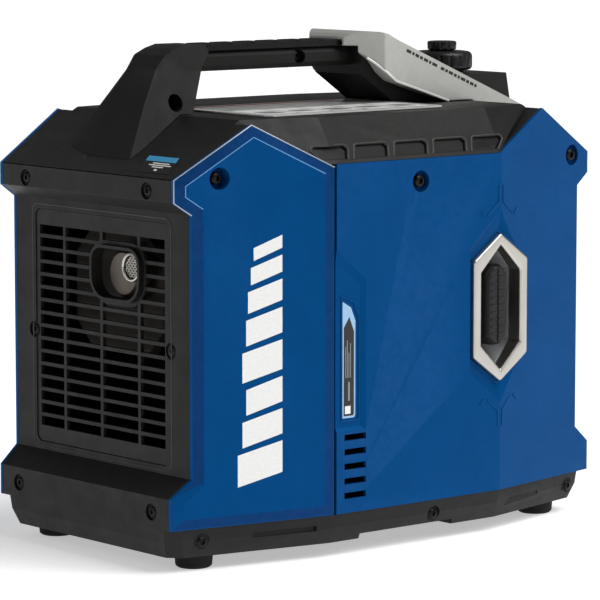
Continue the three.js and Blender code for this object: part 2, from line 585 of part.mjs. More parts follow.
// ---------------------------------------------------------------- recoil starter
function recoilStarter() {
  const ring = cut(prism(hexagon(0), 'y', -halfWidth - 20, 0), prism(hexagon(-10), 'y', -halfWidth - 21, 1));
  const front = -halfWidth - 1;
  const reach = cut(prism(hexagon(1), 'y', front, 0),
    prism(plan(halfLength, bezelDepth), 'z', 0, deckHeight));
  add('hex_bezel', common(ring, reach), 'chrome');
  const back = -sideAt(wellX + 40) + 55;
  const behind = bezelDepth + gap;
  const inside = prism(plan(halfLength, behind), 'z', 0, deckHeight);
  const shell = common(loft('y', [hexagon(-4), -halfWidth], [hexagon(-12), back]), inside);
  const collar = common(sideBand(behind, behind + 3), prism(hexagon(14), 'y', -halfWidth, 0));
  const hollow = loft('y', [hexagon(-7), -halfWidth - 1], [hexagon(-15), back - 3]);
  const ropeHole = rod(6, 'y', [wellX, wellZ], back - 10, back + 1, 16);
  add('recoil_well', cut(join(shell, collar), hollow, ropeHole), 'steel');
  const [gripBack, gripFront] = [back - 6, -halfWidth + 4];
  const section = (half, low, high, corner, at) => [
    chamfered(wellX - half, wellX + half, wellZ - low, wellZ + high, corner), at];
  const grip = loft('y', section(7, 14, 14, 5, gripBack), section(8, 17, 17, 5, gripFront + 29),
    section(12, 35, 39, 7, gripFront + 24), section(13.5, 38, 42, 8, gripFront + 19),
    section(13.5, 38, 42, 8, gripFront + 5), section(10.5, 35, 39, 7, gripFront));
  add('recoil_grip', grip, 'black_satin');
  add('starter_rope', rod(2.4, 'y', [wellX, wellZ], gripBack + gap, -6, 10), 'rope');
  const [rimRadius, grooveRadius] = [ropeRadius + 6, ropeRadius - 3];
  const pulley = turned('x', [0, crankHeight], [[wellX - 6, rimRadius], [wellX - 3.4, rimRadius],
    [wellX - 3.3, grooveRadius], [wellX + 3.3, grooveRadius], [wellX + 3.4, rimRadius],
    [wellX + 6, rimRadius]], 28);
  const pin = rod(9, 'x', [0, crankHeight], wellX - 8, wellX + 8, 16);
  add('recoil_pulley', cut(pulley, pin), 'grey_plastic');
  const cage = cut(turned('x', [0, crankHeight], [[wellX - 9, 78], [wellX + 12, 74]], 28),
    turned('x', [0, crankHeight], [[wellX - 10, 74], [wellX + 9, 70]], 28),
    block(wellX - 5, wellX + 5, -90, 0, wellZ - 5, wellZ + 5));
  add('recoil_housing', join(cage, rod(8.4, 'x', [0, crankHeight], wellX - 6, wellX + 10, 16)), 'alloy');
}

// ---------------------------------------------------------------- engine and alternator
function engine() {
  const [front, back] = [-112, -28];
  const floor = footHeight + wall + 8 + gap;
  const caseBody = prism(chamfered(-62, 62, floor + 14, crankHeight + 52, 18), 'x', front, back);
  const skirt = block(front + 6, back - 6, -102, 102, floor, floor + 15);
  const bore = rod(12.5, 'x', [0, crankHeight], front - 1, back + 1, 20);
  const fillHole = rod(9, 'y', [-70, 92], -64, -30, 16);
  add('engine_block', cut(join(caseBody, skirt), bore, fillHole), 'alloy');
  const base = crankHeight + 52 + gap;
  const barrel = join(block(-104, -36, -30, 30, base, base + 74),
    ...Array.from({ length: 6 }, (_, i) => block(-112, -28, -42, 42, base + 8 + 11 * i, base + 11 + 11 * i)));
  add('cylinder', cut(barrel, rod(6.6, 'z', [-70, -12], base + 66, base + 75, 12)), 'alloy');
  const plugFoot = base + 67;
  add('spark_plug', turned('z', [-70, -12], [[plugFoot, 6], [base + 74, 6], [base + 74.1, 9],
    [base + 79, 9], [base + 79.1, 5], [base + 92, 4]], 12), 'white_plastic');
  const cap = cut(rod(8.5, 'z', [-70, -12], base + 80, base + 98, 14),
    rod(5.6, 'z', [-70, -12], base + 79, base + 94, 14));
  add('plug_cap', cap, 'rubber');
  const [shaftFrom, shaftTo] = [front - 8, wellX - 14];
  const crank = turned('x', [0, crankHeight], [[shaftFrom, 10], [front, 12], [back + 4, 12],
    [back + 6, 10], [shaftTo, 10]], 20);
  add('crankshaft', crank, 'steel');
  const ring = (r0, r1, x0, x1, sides) => cut(rod(r1, 'x', [0, crankHeight], x0, x1, sides),
    rod(r0, 'x', [0, crankHeight], x0 - 1, x1 + 1, sides));
  add('alternator_stator', join(ring(20, 62, -12, 26, 24), ring(20, 44, back + gap, -11, 24)), 'copper');
  const bell = join(ring(65, 72, -14, 34, 28), ring(10 + gap, 72, 30, 38, 28));
  add('alternator_rotor', bell, 'dark_steel');
  const blades = Array.from({ length: 12 }, (_, i) => {
    const turn = (i / 12) * 2 * Math.PI;
    const [c, s] = [Math.cos(turn), Math.sin(turn)];
    const corner = (r, t) => [r * c - t * s, crankHeight + r * s + t * c];
    return prism([corner(30, -1.5), corner(84, -1.5), corner(84, 1.5), corner(30, 1.5)], 'x', 42, 62);
  });
  add('cooling_fan', join(ring(10 + gap, 86, 38 + gap, 43, 28), ...blades), 'black_satin');
  const shroud = cut(turned('x', [0, crankHeight], [[-16, 98], [40, 98], [92, 92]], 28),
    turned('x', [0, crankHeight], [[-17, 94], [40, 94], [89, 88]], 28),
    rod(60, 'x', [0, crankHeight], 80, 100, 28));
  add('fan_shroud', shroud, 'black_satin');
}

function intakeAndExhaust() {
  const axisZ = 262;
  const bowl = block(-86, -54, 52, 78, axisZ - 42, axisZ);
  add('carburettor', join(rod(16, 'y', [-70, axisZ], 43, 84, 18), bowl), 'alloy');
  const box = prism(chamfered(-112, -28, axisZ - 46, axisZ + 48, 8), 'y', 84 + gap, 130);
  add('air_filter_box', box, 'black_satin');
  const back = 24 - waistX; // end of the muffler, behind the grille
  const front = back + 84;
  const [endPlate, middle] = [chamfered(-66, 70, 196, 306, 22), chamfered(-72, 76, 190, 312, 26)];
  const can = loft('x', [endPlate, back], [middle, back + 6], [middle, front - 6], [endPlate, front]);
  const pipe = block(front - 1, -112 - gap - 1, -14, 14, 248, 268);
  const hollow = prism(chamfered(-64, 68, 198, 304, 22), 'x', back + 3, front - 3);
  const passage = rod(8, 'x', [0, 258], front - 10, -100, 12);
  add('muffler', cut(join(can, pipe), hollow, passage), 'dark_steel');
  const [left, right, foot, top] = [-112, 112, windowFoot - 3, windowTop + 3];
  const sheet = block(4 - waistX + gap, front + 12, left, right, foot, top);
  const room = block(3 - waistX, front + 10.5, left + 1.5, right - 1.5, foot + 1.5, top - 1.5);
  const pipeHole = block(front, front + 14, -16, 16, 246, 270);
  add('muffler_shroud', cut(sheet, room, pipeHole), 'dark_steel');
  const spout = [-44, 279];
  const hood = join(turned('x', [-25, 271], [[back - 16, 20], [back - 8, 27], [back - gap, 27]], 20),
    rod(14, 'x', spout, back - 20, back - gap, 20));
  add('exhaust_outlet', cut(hood, rod(11.5, 'x', spout, back - 21, back - 8, 20)), 'dark_steel');
  add('spark_arrestor', turned('x', spout, [[back - 18, 10.6], [back - 11, 11]], 20), 'steel');
  const stick = turned('y', [-70, 92], [[-76, 12], [-66, 13], [-62 - gap, 13], [-62, 7.5], [-40, 7.5]], 16);
  add('oil_dipstick', stick, 'black_satin');
}

function inverter() {
  const fins = Array.from({ length: 8 }, (_, i) => block(150, 154.5, -90 + 24 * i, -86 + 24 * i, 120, 300));
  const bodyBox = block(154, 192, -96, 96, 110, 310);
  add('inverter_module', join(bodyBox, ...fins), 'alloy');
}

// ---------------------------------------------------------------- control panel
const face = waistX - 1; // front of the control panel
const socketSpots = [[-46, 146], [46, 146]];
const knobSpot = [-62, 268];
const rockerSpot = [-62, 214];
const buttonSpot = [-18, 214];
const dcSpot = [26, 214];
const usbSpot = [70, 214];
const groundSpot = [0, 112];

function controlPanel() {
  const through = (radius, spot) => rod(radius + gap, 'x', spot, face - 20, face + 20, 20);
  const [ry, rz] = rockerSpot;
  const plate = cut(windowPlate(face - wall), ...socketSpots.map((spot) => through(24.5, spot)),
    through(6, knobSpot), through(7, buttonSpot), through(11, dcSpot), through(4, groundSpot),
    block(face - 20, face + 20, ry - 9, ry + 9, rz - 13, rz + 13),
    block(face - 20, face + 20, usbSpot[0] - 9.4, usbSpot[0] + 9.4, usbSpot[1] - 6.4, usbSpot[1] + 6.4));
  add('control_panel', plate, 'grey_plastic');
  add('display_window', prism(chamfered(-12, 74, 250, 288, 4), 'x', face + gap, face + 2.6), 'black_satin');
}

// A round outlet with a rain lid hinged along its upper edge.
function acSocket([y, z], number) {
  const flange = face + 4;
  const body = turned('x', [y, z], [[face - 20, 24.5], [face + gap, 24.5], [face + gap + 0.1, 29],
    [flange, 28]], 24);
  const slots = [-9, 9].map((dy) => block(face - 8, face + 9, y + dy - 1.5, y + dy + 1.5, z - 5, z + 6));
  const earth = rod(2.4, 'x', [y, z - 14], face - 8, face + 9, 10);
  add(`ac_socket_${number}`, cut(body, ...slots, earth), 'black_satin');
  const leaf = prism(chamfered(y - 28, y + 28, z - 29, z + 30, 9), 'x', flange + gap, flange + 3);
  const knuckle = rod(2.6, 'y', [flange + 3.4, z + 31], y - 14, y + 14, 12);
  add(`socket_lid_${number}`, join(leaf, knuckle), 'black');
}

function controls() {
  const [ky, kz] = knobSpot;
  const knob = join(rod(6, 'x', knobSpot, face - 8, face + 3, 16),
    turned('x', knobSpot, [[face + gap, 17], [face + 9, 15.5]], 24),
    prism(chamfered(ky - 4, ky + 4, kz - 14, kz + 14, 2), 'x', face + 8, face + 16));
  add('engine_switch_knob', knob, 'red');
  const [ry, rz] = rockerSpot;
  const rocker = [[face - 5, rz - 12], [face + 2.2, rz - 12], [face + 0.8, rz], [face + 4.4, rz + 12],
    [face - 5, rz + 12]];
  add('eco_rocker', prism(rocker, 'y', ry - 8.4, ry + 8.4), 'black_satin');
  const button = turned('x', buttonSpot, [[face - 8, 7], [face + 4, 7], [face + 5, 6]], 16);
  add('reset_button', button, 'white_plastic');
  const dc = turned('x', dcSpot, [[face - 14, 11], [face + gap, 11], [face + gap + 0.1, 14.5],
    [face + 3.5, 14]], 20);
  const [dy, dz] = dcSpot;
  const blades = [block(face - 8, face + 5, dy - 6, dy - 3, dz - 5, dz + 5),
    block(face - 8, face + 5, dy, dy + 8, dz - 1.5, dz + 1.5)];
  add('dc_socket', cut(dc, ...blades), 'black_satin');
  const [uy, uz] = usbSpot;
  const usb = join(block(face - 12, face + 2, uy - 9, uy + 9, uz - 6, uz + 6),
    block(face + gap, face + 2.2, uy - 12, uy + 12, uz - 9, uz + 9));
  const tongue = block(face - 9, face + 1, uy - 5.5, uy + 5.5, uz - 0.2, uz + 1.8);
  const mouth = block(face - 8, face + 4, uy - 6.5, uy + 6.5, uz - 2.6, uz + 2.6);
  add('usb_port', join(cut(usb, mouth), tongue), 'black_satin');
  const [gy, gz] = groundSpot;
  const ground = join(rod(4, 'x', groundSpot, face - 10, face + 13, 14),
    rod(8, 'x', groundSpot, face + gap, face + 5, 6),
    block(face + 5, face + 9, gy - 12, gy + 12, gz - 3, gz + 3));
  add('ground_terminal', ground, 'steel');
}

baseTray();
feet();
ends();
sides();
topCover();
carryHandle();
gripPad();
handleYoke();
fuelSystem();
recoilStarter();
engine();
intakeAndExhaust();
inverter();
controlPanel();
socketSpots.forEach((spot, i) => acSocket(spot, i + 1));
controls();

export default group;
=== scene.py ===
"""Looks of a closed portable inverter generator: moulded shell, side panels, handle, starter and outlets.

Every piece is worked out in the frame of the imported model: +X towards the control panel, -Y towards the
recoil starter, +Z up from the floor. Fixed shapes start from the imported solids, which get rounded edges
here, and small pieces (screws, rims, labels, rope, mesh) are surfaces computed with numpy.
"""
import json
import logging
import math
from dataclasses import dataclass, replace
from enum import Enum
from typing import Callable, Iterable, Sequence

import bmesh
import bpy
import numpy as np
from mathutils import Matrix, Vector

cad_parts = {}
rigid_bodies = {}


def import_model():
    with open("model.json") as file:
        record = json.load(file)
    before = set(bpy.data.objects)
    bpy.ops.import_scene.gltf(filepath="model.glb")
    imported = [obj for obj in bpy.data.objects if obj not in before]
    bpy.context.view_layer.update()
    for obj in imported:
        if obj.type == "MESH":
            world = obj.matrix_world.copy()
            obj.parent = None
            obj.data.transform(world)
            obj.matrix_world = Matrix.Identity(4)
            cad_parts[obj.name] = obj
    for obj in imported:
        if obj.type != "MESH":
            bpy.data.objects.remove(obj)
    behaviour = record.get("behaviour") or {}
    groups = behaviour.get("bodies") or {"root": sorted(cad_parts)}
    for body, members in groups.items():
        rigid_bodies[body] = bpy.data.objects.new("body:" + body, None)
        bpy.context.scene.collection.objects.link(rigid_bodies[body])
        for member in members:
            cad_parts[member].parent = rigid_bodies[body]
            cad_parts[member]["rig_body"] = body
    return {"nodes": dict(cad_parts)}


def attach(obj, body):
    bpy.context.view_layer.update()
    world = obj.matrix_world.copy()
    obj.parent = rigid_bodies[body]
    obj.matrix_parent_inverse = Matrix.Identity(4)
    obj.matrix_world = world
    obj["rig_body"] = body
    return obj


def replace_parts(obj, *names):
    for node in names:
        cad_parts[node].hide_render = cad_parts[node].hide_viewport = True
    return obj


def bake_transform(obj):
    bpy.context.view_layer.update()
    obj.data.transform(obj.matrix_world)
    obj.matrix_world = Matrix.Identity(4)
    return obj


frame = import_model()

log = logging.getLogger("generator")
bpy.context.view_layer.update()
MM = 0.001
WHITE = (1.0, 1.0, 1.0, 1.0)

Tree, Socket = bpy.types.NodeTree, bpy.types.NodeSocket
Colour = tuple[float, float, float, float]
Skin = tuple[np.ndarray, list]
Place = Callable[[np.ndarray, float], np.ndarray]


# ---------------------------------------- small tools
class Axis(Enum):
    """A direction of the frame that a turned or laid piece follows."""

    X = 0
    Y = 1
    Z = 2


def linear(code: str) -> Colour:
    """Turns an sRGB hex colour into the linear values that shaders take.

    Args:
        code: colour such as "#004a86".

    Returns:
        Linear red, green, blue and alpha.
    """
    parts = [int(code[i : i + 2], 16) / 255 for i in (1, 3, 5)]
    r, g, b = (c / 12.92 if c <= 0.04045 else ((c + 0.055) / 1.055) ** 2.4 for c in parts)
    return r, g, b, 1.0


def put(tree: Tree, kind: str, settings: dict | None = None, **inputs) -> bpy.types.Node:
    """Adds one shader node.

    Args:
        tree: the node tree.
        kind: node type, such as "ShaderNodeTexNoise".
        settings: the node's own properties.
        inputs: socket name, with underscores for spaces, or i and a number, to a value or to an output
            socket to link.

    Returns:
        The new node.
    """
    node = tree.nodes.new(kind)
    for key, value in (settings or {}).items():
        setattr(node, key, value)
    for key, value in inputs.items():
        name = key.replace("_", " ")
        socket = node.inputs[int(name[1:])] if name[0] == "i" and name[1:].isdigit() else node.inputs[name]
        if isinstance(value, Socket):
            tree.links.new(value, socket)
        else:
            socket.default_value = value
    return node


def ramp(tree: Tree, factor: Socket, *stops: tuple[float, Colour]) -> Socket:
    """Adds a colour ramp.

    Args:
        tree: the node tree.
        factor: what drives the ramp.
        stops: positions with their colours, in order.

    Returns:
        The ramp's colour output.
    """
    node = put(tree, "ShaderNodeValToRGB", Fac=factor)
    elements = node.color_ramp.elements
    while len(elements) < len(stops):
        elements.new(0.5)
    for element, (position, colour) in zip(elements, stops):
        element.position = position
        element.color = colour
    return node.outputs["Color"]


def grey(value: float) -> Colour:
    """Returns a grey of one linear value."""
    return value, value, value, 1.0


def scaled(colour: Colour, times: float, plus: float = 0.0) -> Colour:
    """Returns the colour with its red, green and blue multiplied and raised, and none of them over 1."""
    return tuple(min(1.0, c * times + plus) for c in colour[:3]) + (1.0,)


def relief(tree: Tree, height: Socket, strength: float, depth_mm: float) -> None:
    """Gives the tree's shader small bumps.

    Args:
        tree: the node tree.
        height: what the bumps follow.
        strength: share of the bumps that shows.
        depth_mm: how deep they are.
    """
    bump = put(tree, "ShaderNodeBump", Strength=strength, Distance=depth_mm * MM, Height=height)
    tree.links.new(bump.outputs["Normal"], tree.nodes["Principled BSDF"].inputs["Normal"])


# ---------------------------------------- finishes
# Blotches in a metre: soft clouds of colour, scuffs on edges, patches of gloss, the peel of ink.
CLOUDS, SCUFFS, PATCHES, PEEL = 18.0, 140.0, 55.0, 700.0


@dataclass(frozen=True)
class Surface:
    """What every finish has: a name, a colour and a shader laid out in the object's own coordinates."""

    name: str
    colour: str

    def begin(self) -> tuple[bpy.types.Material, Tree, bpy.types.NodeInputs, Socket]:
        """Starts the material.

        Returns:
            The material, its node tree, its shader's inputs and the object's own coordinates.
        """
        material = bpy.data.materials.new(self.name)
        material.use_nodes = True
        tree = material.node_tree
        place = put(tree, "ShaderNodeTexCoord").outputs["Object"]
        return material, tree, tree.nodes["Principled BSDF"].inputs, place


@dataclass(frozen=True)
class MouldedPlastic(Surface):
    """Injection-moulded ABS or polypropylene: an even colour with a fine spark-eroded grain that scatters
    light, slightly polished and paler along its edges.
    """

    roughness: float = 0.5
    grain_mm: float = 1.1
    grain_depth_mm: float = 0.05
    mottle: float = 0.08
    edge: float = 0.35
    shine: float = 0.3
    metallic: float = 0.0
    flake: float = 0.0
    flake_mm: float = 0.9

    def build(self) -> bpy.types.Material:
        """Returns the material."""
        material, tree, shader, place = self.begin()
        base = linear(self.colour)
        cloud = put(tree, "ShaderNodeTexNoise", Vector=place, Scale=CLOUDS, Detail=4.0, Roughness=0.6)
        dark, pale = scaled(base, 1 - self.mottle), scaled(base, 1 + self.mottle, 0.004 * self.mottle)
        tone = ramp(tree, cloud.outputs["Fac"], (0.3, dark), (0.7, pale))
        point = put(tree, "ShaderNodeNewGeometry").outputs["Pointiness"]
        rub = ramp(tree, point, (0.5, grey(0.0)), (0.58, grey(self.edge)))
        scuff = put(tree, "ShaderNodeTexNoise", Vector=place, Scale=SCUFFS, Detail=3.0)
        rubbed = put(tree, "ShaderNodeMath", {"operation": "MULTIPLY"}, i0=rub, i1=scuff.outputs["Fac"])
        mixed = put(tree, "ShaderNodeMix", {"data_type": "RGBA"}, Factor=rubbed.outputs[0], i6=tone,
                    i7=scaled(base, 1.9, 0.05))
        colour = mixed.outputs[2]
        if self.flake:
            fleck = put(tree, "ShaderNodeTexVoronoi", Vector=place, Scale=1 / (self.flake_mm * MM))
            dim, bright = grey(1.0 - self.flake), grey(1.0 + self.flake)
            spark = ramp(tree, fleck.outputs["Color"], (0.0, dim), (1.0, bright))
            settings = {"data_type": "RGBA", "blend_type": "MULTIPLY"}
            colour = put(tree, "ShaderNodeMix", settings, Factor=1.0, i6=colour, i7=spark).outputs[2]
        tree.links.new(colour, shader["Base Color"])
        low, high = grey(self.roughness - 0.06), grey(self.roughness + 0.08)
        gloss = put(tree, "ShaderNodeTexNoise", Vector=place, Scale=PATCHES, Detail=5.0)
        tree.links.new(ramp(tree, gloss.outputs["Fac"], (0.3, low), (0.7, high)), shader["Roughness"])
        grain = put(tree, "ShaderNodeTexNoise", Vector=place, Scale=1 / (self.grain_mm * MM), Detail=2.0)
        relief(tree, grain.outputs["Fac"], 0.6, self.grain_depth_mm)
        shader["Metallic"].default_value = self.metallic
        shader["Specular IOR Level"].default_value = self.shine
        return material


@dataclass(frozen=True)
class WorkedMetal(Surface):
    """Bare or plated metal, drawn or brushed one way: long fine streaks along one axis break up the
    reflection, with a little grime settled in it.
    """

    roughness: float = 0.3
    along: Axis = Axis.Z
    streak_mm: float = 0.8
    streak: float = 0.12
    grime: float = 0.15
    stretch: float = 0.04

    def build(self) -> bpy.types.Material:
        """Returns the material."""
        material, tree, shader, place = self.begin()
        scale = [self.stretch if axis is self.along else 1.0 for axis in Axis]
        drawn = put(tree, "ShaderNodeMapping", Vector=place, Scale=scale).outputs["Vector"]
        line = put(tree, "ShaderNodeTexNoise", Vector=drawn, Scale=1 / (self.streak_mm * MM), Detail=3.0)
        base = linear(self.colour)
        cloud = put(tree, "ShaderNodeTexNoise", Vector=place, Scale=30.0, Detail=5.0)
        stained = ramp(tree, cloud.outputs["Fac"], (0.35, scaled(base, 1 - self.grime)), (0.6, base))
        tree.links.new(stained, shader["Base Color"])
        low, high = grey(self.roughness - self.streak), grey(self.roughness + self.streak)
        tree.links.new(ramp(tree, line.outputs["Fac"], (0.3, low), (0.7, high)), shader["Roughness"])
        relief(tree, line.outputs["Fac"], 0.35, 0.02)
        shader["Metallic"].default_value = 1.0
        return material


@dataclass(frozen=True)
class CastMetal(Surface):
    """Sand or die-cast alloy: a dull, pitted metal whose grains show as small bumps, stained in clouds."""

    roughness: float = 0.55
    grain_mm: float = 1.6

    def build(self) -> bpy.types.Material:
        """Returns the material."""
        material, tree, shader, place = self.begin()
        smooth = {"feature": "SMOOTH_F1"}
        pits = put(tree, "ShaderNodeTexVoronoi", smooth, Vector=place, Scale=1 / (self.grain_mm * MM))
        cloud = put(tree, "ShaderNodeTexNoise", Vector=place, Scale=25.0, Detail=6.0)
        base = linear(self.colour)
        stained = ramp(tree, cloud.outputs["Fac"], (0.35, scaled(base, 0.6)), (0.6, base))
        tree.links.new(stained, shader["Base Color"])
        relief(tree, pits.outputs["Distance"], 0.5, 0.12)
        shader["Metallic"].default_value = 0.85
        shader["Roughness"].default_value = self.roughness
        return material


@dataclass(frozen=True)
class BraidedCord(Surface):
    """Braided polyester starter rope: two sets of strands cross in a slanted weave, painted darker in the
    hollows as shade and paler on the crests as a highlight.
    """

    crest_highlight: str = "#8b8c80"
    hollow_shade: str = "#0d0e0c"
    strand_mm: float = 1.8
    slant: float = 0.7

    def build(self) -> bpy.types.Material:
        """Returns the material."""
        material, tree, shader, place = self.begin()
        pitch = 2 * math.pi / (20 * self.strand_mm * MM)
        waves = []
        for turn in (self.slant, -self.slant):
            laid = put(tree, "ShaderNodeMapping", Vector=place, Rotation=(0, 0, turn))
            waves.append(put(tree, "ShaderNodeTexWave", Vector=laid.outputs[0], Scale=pitch).outputs["Fac"])
        weave = put(tree, "ShaderNodeMath", {"operation": "MAXIMUM"}, i0=waves[0], i1=waves[1]).outputs[0]
        hollow_shade, strand, crest_highlight = (linear(code) for code in (self.hollow_shade, self.colour, self.crest_highlight))
        # dark hollows are painted shade, pale crests a painted highlight
        tree.links.new(ramp(tree, weave, (0.2, hollow_shade), (0.7, strand), (0.97, crest_highlight)), shader["Base Color"])
        relief(tree, weave, 0.8, 0.4)
        shader["Roughness"].default_value = 0.85
        shader["Sheen Weight"].default_value = 0.3
        return material


@dataclass(frozen=True)
class PrintedFilm(Surface):
    """Printed polyester film: smooth ink with a faint orange peel, one colour to a piece."""

    roughness: float = 0.3

    def build(self) -> bpy.types.Material:
        """Returns the material."""
        material, tree, shader, place = self.begin()
        peel = put(tree, "ShaderNodeTexNoise", Vector=place, Scale=PEEL, Detail=2.0).outputs["Fac"]
        base = linear(self.colour)
        tree.links.new(ramp(tree, peel, (0.35, scaled(base, 0.92)), (0.65, base)), shader["Base Color"])
        relief(tree, peel, 0.25, 0.02)
        shader["Roughness"].default_value = self.roughness
        return material


class Finish(Enum):
    """Every finish on the machine."""

    BLUE_PANEL = MouldedPlastic("blue_painted_abs", "#00457e", 0.38, 1.5, 0.015, 0.05, 0.2, 0.03, 0.25, 0.05)
    # Darker blue for the pads' chamfer bands and the panel screw seats: painted shade.
    BLUE_BEVEL = replace(BLUE_PANEL, name="blue_painted_shade", colour="#003569")
    # Light blue line where each pad's face begins: a painted highlight.
    BLUE_EDGE = MouldedPlastic("blue_painted_highlight", "#5c8fc2", 0.3, 1.5, 0.01, 0.03, 0.3, 0.3, 0.2)
    # Pale line along each pad's outer edge: a painted highlight.
    PALE_EDGE = MouldedPlastic("pale_painted_highlight", "#a9b0b8", 0.3, 1.5, 0.01, 0.03, 0.3, 0.4, 0.2)
    # Near-white line under the yoke's arms: a painted highlight.
    BRIGHT_EDGE = MouldedPlastic("silver_painted_highlight", "#e9e9e6", 0.3, 1.5, 0.01, 0.03, 0.3, 0.5, 0.2)
    BLACK_SHELL = MouldedPlastic("black_textured_abs", "#161615", 0.46, 1.1, 0.05, 0.1, 0.3, 0.2)
    # Lighter black for scoop rims, the grille groove and the cover's fold: a painted highlight along them.
    BLACK_EDGE = MouldedPlastic("black_painted_highlight", "#3a3a38", 0.4, 1.1, 0.03, 0.08, 0.3, 0.3)
    BLACK_SATIN = MouldedPlastic("black_satin_nylon", "#111111", 0.34, 1.3, 0.02, 0.08, 0.3, 0.3)
    BLACK_RUBBER = MouldedPlastic("black_rubber", "#121212", 0.72, 1.0, 0.08, 0.12, 0.2, 0.2)
    WELL_GREY = MouldedPlastic("mid_grey_satin_abs", "#a2a3a5", 0.34, 1.3, 0.02, 0.05, 0.2, 0.4)
    GREY_PLASTIC = MouldedPlastic("grey_textured_abs", "#3c3e40", 0.5, 1.2, 0.05)
    WHITE_PLASTIC = MouldedPlastic("white_nylon", "#dcdcd6", 0.42, 1.2, 0.02)
    RED_PLASTIC = MouldedPlastic("red_nylon", "#a81f18", 0.38, 1.2, 0.02)
    SILVER_TRIM = MouldedPlastic("silver_painted_abs", "#b9b9b4", 0.36, 1.3, 0.01, 0.03, 0.35, 0.5, 0.3, 0.04)
    BEZEL_METAL = WorkedMetal("satin_plated_zinc", "#c9c6bf", 0.34, Axis.Z, 1.0, 0.04, 0.05)
    STEEL = WorkedMetal("plain_steel", "#8f8f8e", 0.35, Axis.X)
    SCREW_STEEL = WorkedMetal("black_zinc_steel", "#2b2a29", 0.34, Axis.Y)
    HOT_STEEL = CastMetal("heat_stained_steel", "#2c2723", 0.5, 1.0)
    SOOTY_STEEL = CastMetal("sooty_steel", "#6a625a", 0.42, 1.0)
    DARK_SHEET = CastMetal("dark_coated_sheet", "#1a1918", 0.7, 2.0)
    ALLOY = CastMetal("die_cast_alloy", "#a4a6a5", 0.5, 1.6)
    WINDINGS = WorkedMetal("copper_windings", "#b36a35", 0.4, Axis.X, 1.4, 0.15)
    DECK_PLATE = MouldedPlastic("pale_gloss_plate", "#d9dad6", 0.16, 1.6, 0.01, 0.03, 0.1, 0.5)
    ROPE = BraidedCord("braided_polyester", "#23241f")
    WHITE_INK = PrintedFilm("white_ink", "#f2f2f0", 0.4)
    BLACK_INK = PrintedFilm("black_ink", "#0d0e10", 0.3)
    GREY_INK = PrintedFilm("grey_ink", "#8d9194", 0.4)
    RED_INK = PrintedFilm("red_ink", "#a3262a", 0.4)
    SKY_BLUE_INK = PrintedFilm("sky_blue_ink", "#3f9ccb", 0.35)
    PALE_BLUE_INK = PrintedFilm("pale_blue_ink", "#9cc4e6", 0.35)

    @property
    def slot(self) -> str:
        """The record's name for what the finish is put on."""
        return SLOTS[self.name]

    @property
    def material(self) -> bpy.types.Material:
        """The finish's material, built the first time it is asked for."""
        if self.value.name not in bpy.data.materials:
            self.value.build()
        return bpy.data.materials[self.value.name]


SLOTS = {finish.name: finish.name.lower() for finish in Finish} | {
    "BLUE_BEVEL": "blue_panel", "BLUE_EDGE": "blue_panel", "PALE_EDGE": "silver_trim",
    "BRIGHT_EDGE": "silver_trim", "BLACK_EDGE": "black_shell", "BLACK_RUBBER": "rubber",
    "WELL_GREY": "steel", "SCREW_STEEL": "dark_steel", "HOT_STEEL": "dark_steel",
    "SOOTY_STEEL": "dark_steel", "DARK_SHEET": "dark_steel", "WHITE_INK": "white_plastic",
    "BLACK_INK": "black_satin", "GREY_INK": "grey_plastic", "RED_INK": "red_plastic",
    "SKY_BLUE_INK": "blue_panel", "PALE_BLUE_INK": "blue_panel",
}


# ---------------------------------------- making meshes
def quad_grid(rows: int, columns: int) -> np.ndarray:
    """Faces of a grid of points stored row after row, each row closed on itself.

    Args:
        rows: number of rows.
        columns: points in each row.

    Returns:
        One row of four indices for each face.
    """
    r, c = np.meshgrid(np.arange(rows - 1), np.arange(columns), indexing="ij")
    near, far = r * columns, (r + 1) * columns
    n = (c + 1) % columns
    return np.stack([near + c, near + n, far + n, far + c], -1).reshape(-1, 4)


def mesh_piece(
    name: str, points: np.ndarray, faces: Iterable, finish: Finish, body: str = "shell"
) -> bpy.types.Object:
    """Makes an object from points and faces, dresses it and lets it ride on a body.

    Args:
        name: the piece's name.
        points: one row of x, y, z in metres for each vertex.
        faces: lists of vertex indices.
        finish: what it is made of.
        body: the body that carries it; none if empty.

    Returns:
        The new object.
    """
    mesh = bpy.data.meshes.new(name)
    mesh.from_pydata(np.asarray(points, float).tolist(), [], [list(map(int, f)) for f in faces])
    mesh.validate()
    piece = bpy.data.objects.new(name, mesh)
    bpy.context.scene.collection.objects.link(piece)
    finish_mesh(piece, finish)
    if body:
        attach(piece, body)
    finish.slot
    log.info("%s: %d faces", name, len(mesh.polygons))
    return piece


def finish_mesh(piece: bpy.types.Object, finish: Finish, angle: float = 35.0) -> None:
    """Faces outwards, shading and material for one mesh.

    Args:
        piece: the object.
        finish: what it is made of.
        angle: edges sharper than this, in degrees, stay sharp.
    """
    shape = bmesh.new()
    shape.from_mesh(piece.data)
    bmesh.ops.remove_doubles(shape, verts=shape.verts, dist=1e-6)
    bmesh.ops.recalc_face_normals(shape, faces=shape.faces)
    shape.to_mesh(piece.data)
    shape.free()
    piece.data.materials.clear()
    piece.data.materials.append(finish.material)
    piece.data.shade_smooth()
    piece.data.set_sharp_from_angle(angle=math.radians(angle))


def swept(profile_rows: np.ndarray, close_ends: bool = True) -> Skin:
    """A skin over rows of points that each close on themselves.

    Args:
        profile_rows: array of rows x points x 3.
        close_ends: whether the first and last rows are capped.

    Returns:
        Points and faces.
    """
    rows, count, _ = profile_rows.shape
    faces = quad_grid(rows, count).tolist()
    if close_ends:
        faces += [list(range(count))[::-1], list(range((rows - 1) * count, rows * count))]
    return profile_rows.reshape(-1, 3), faces


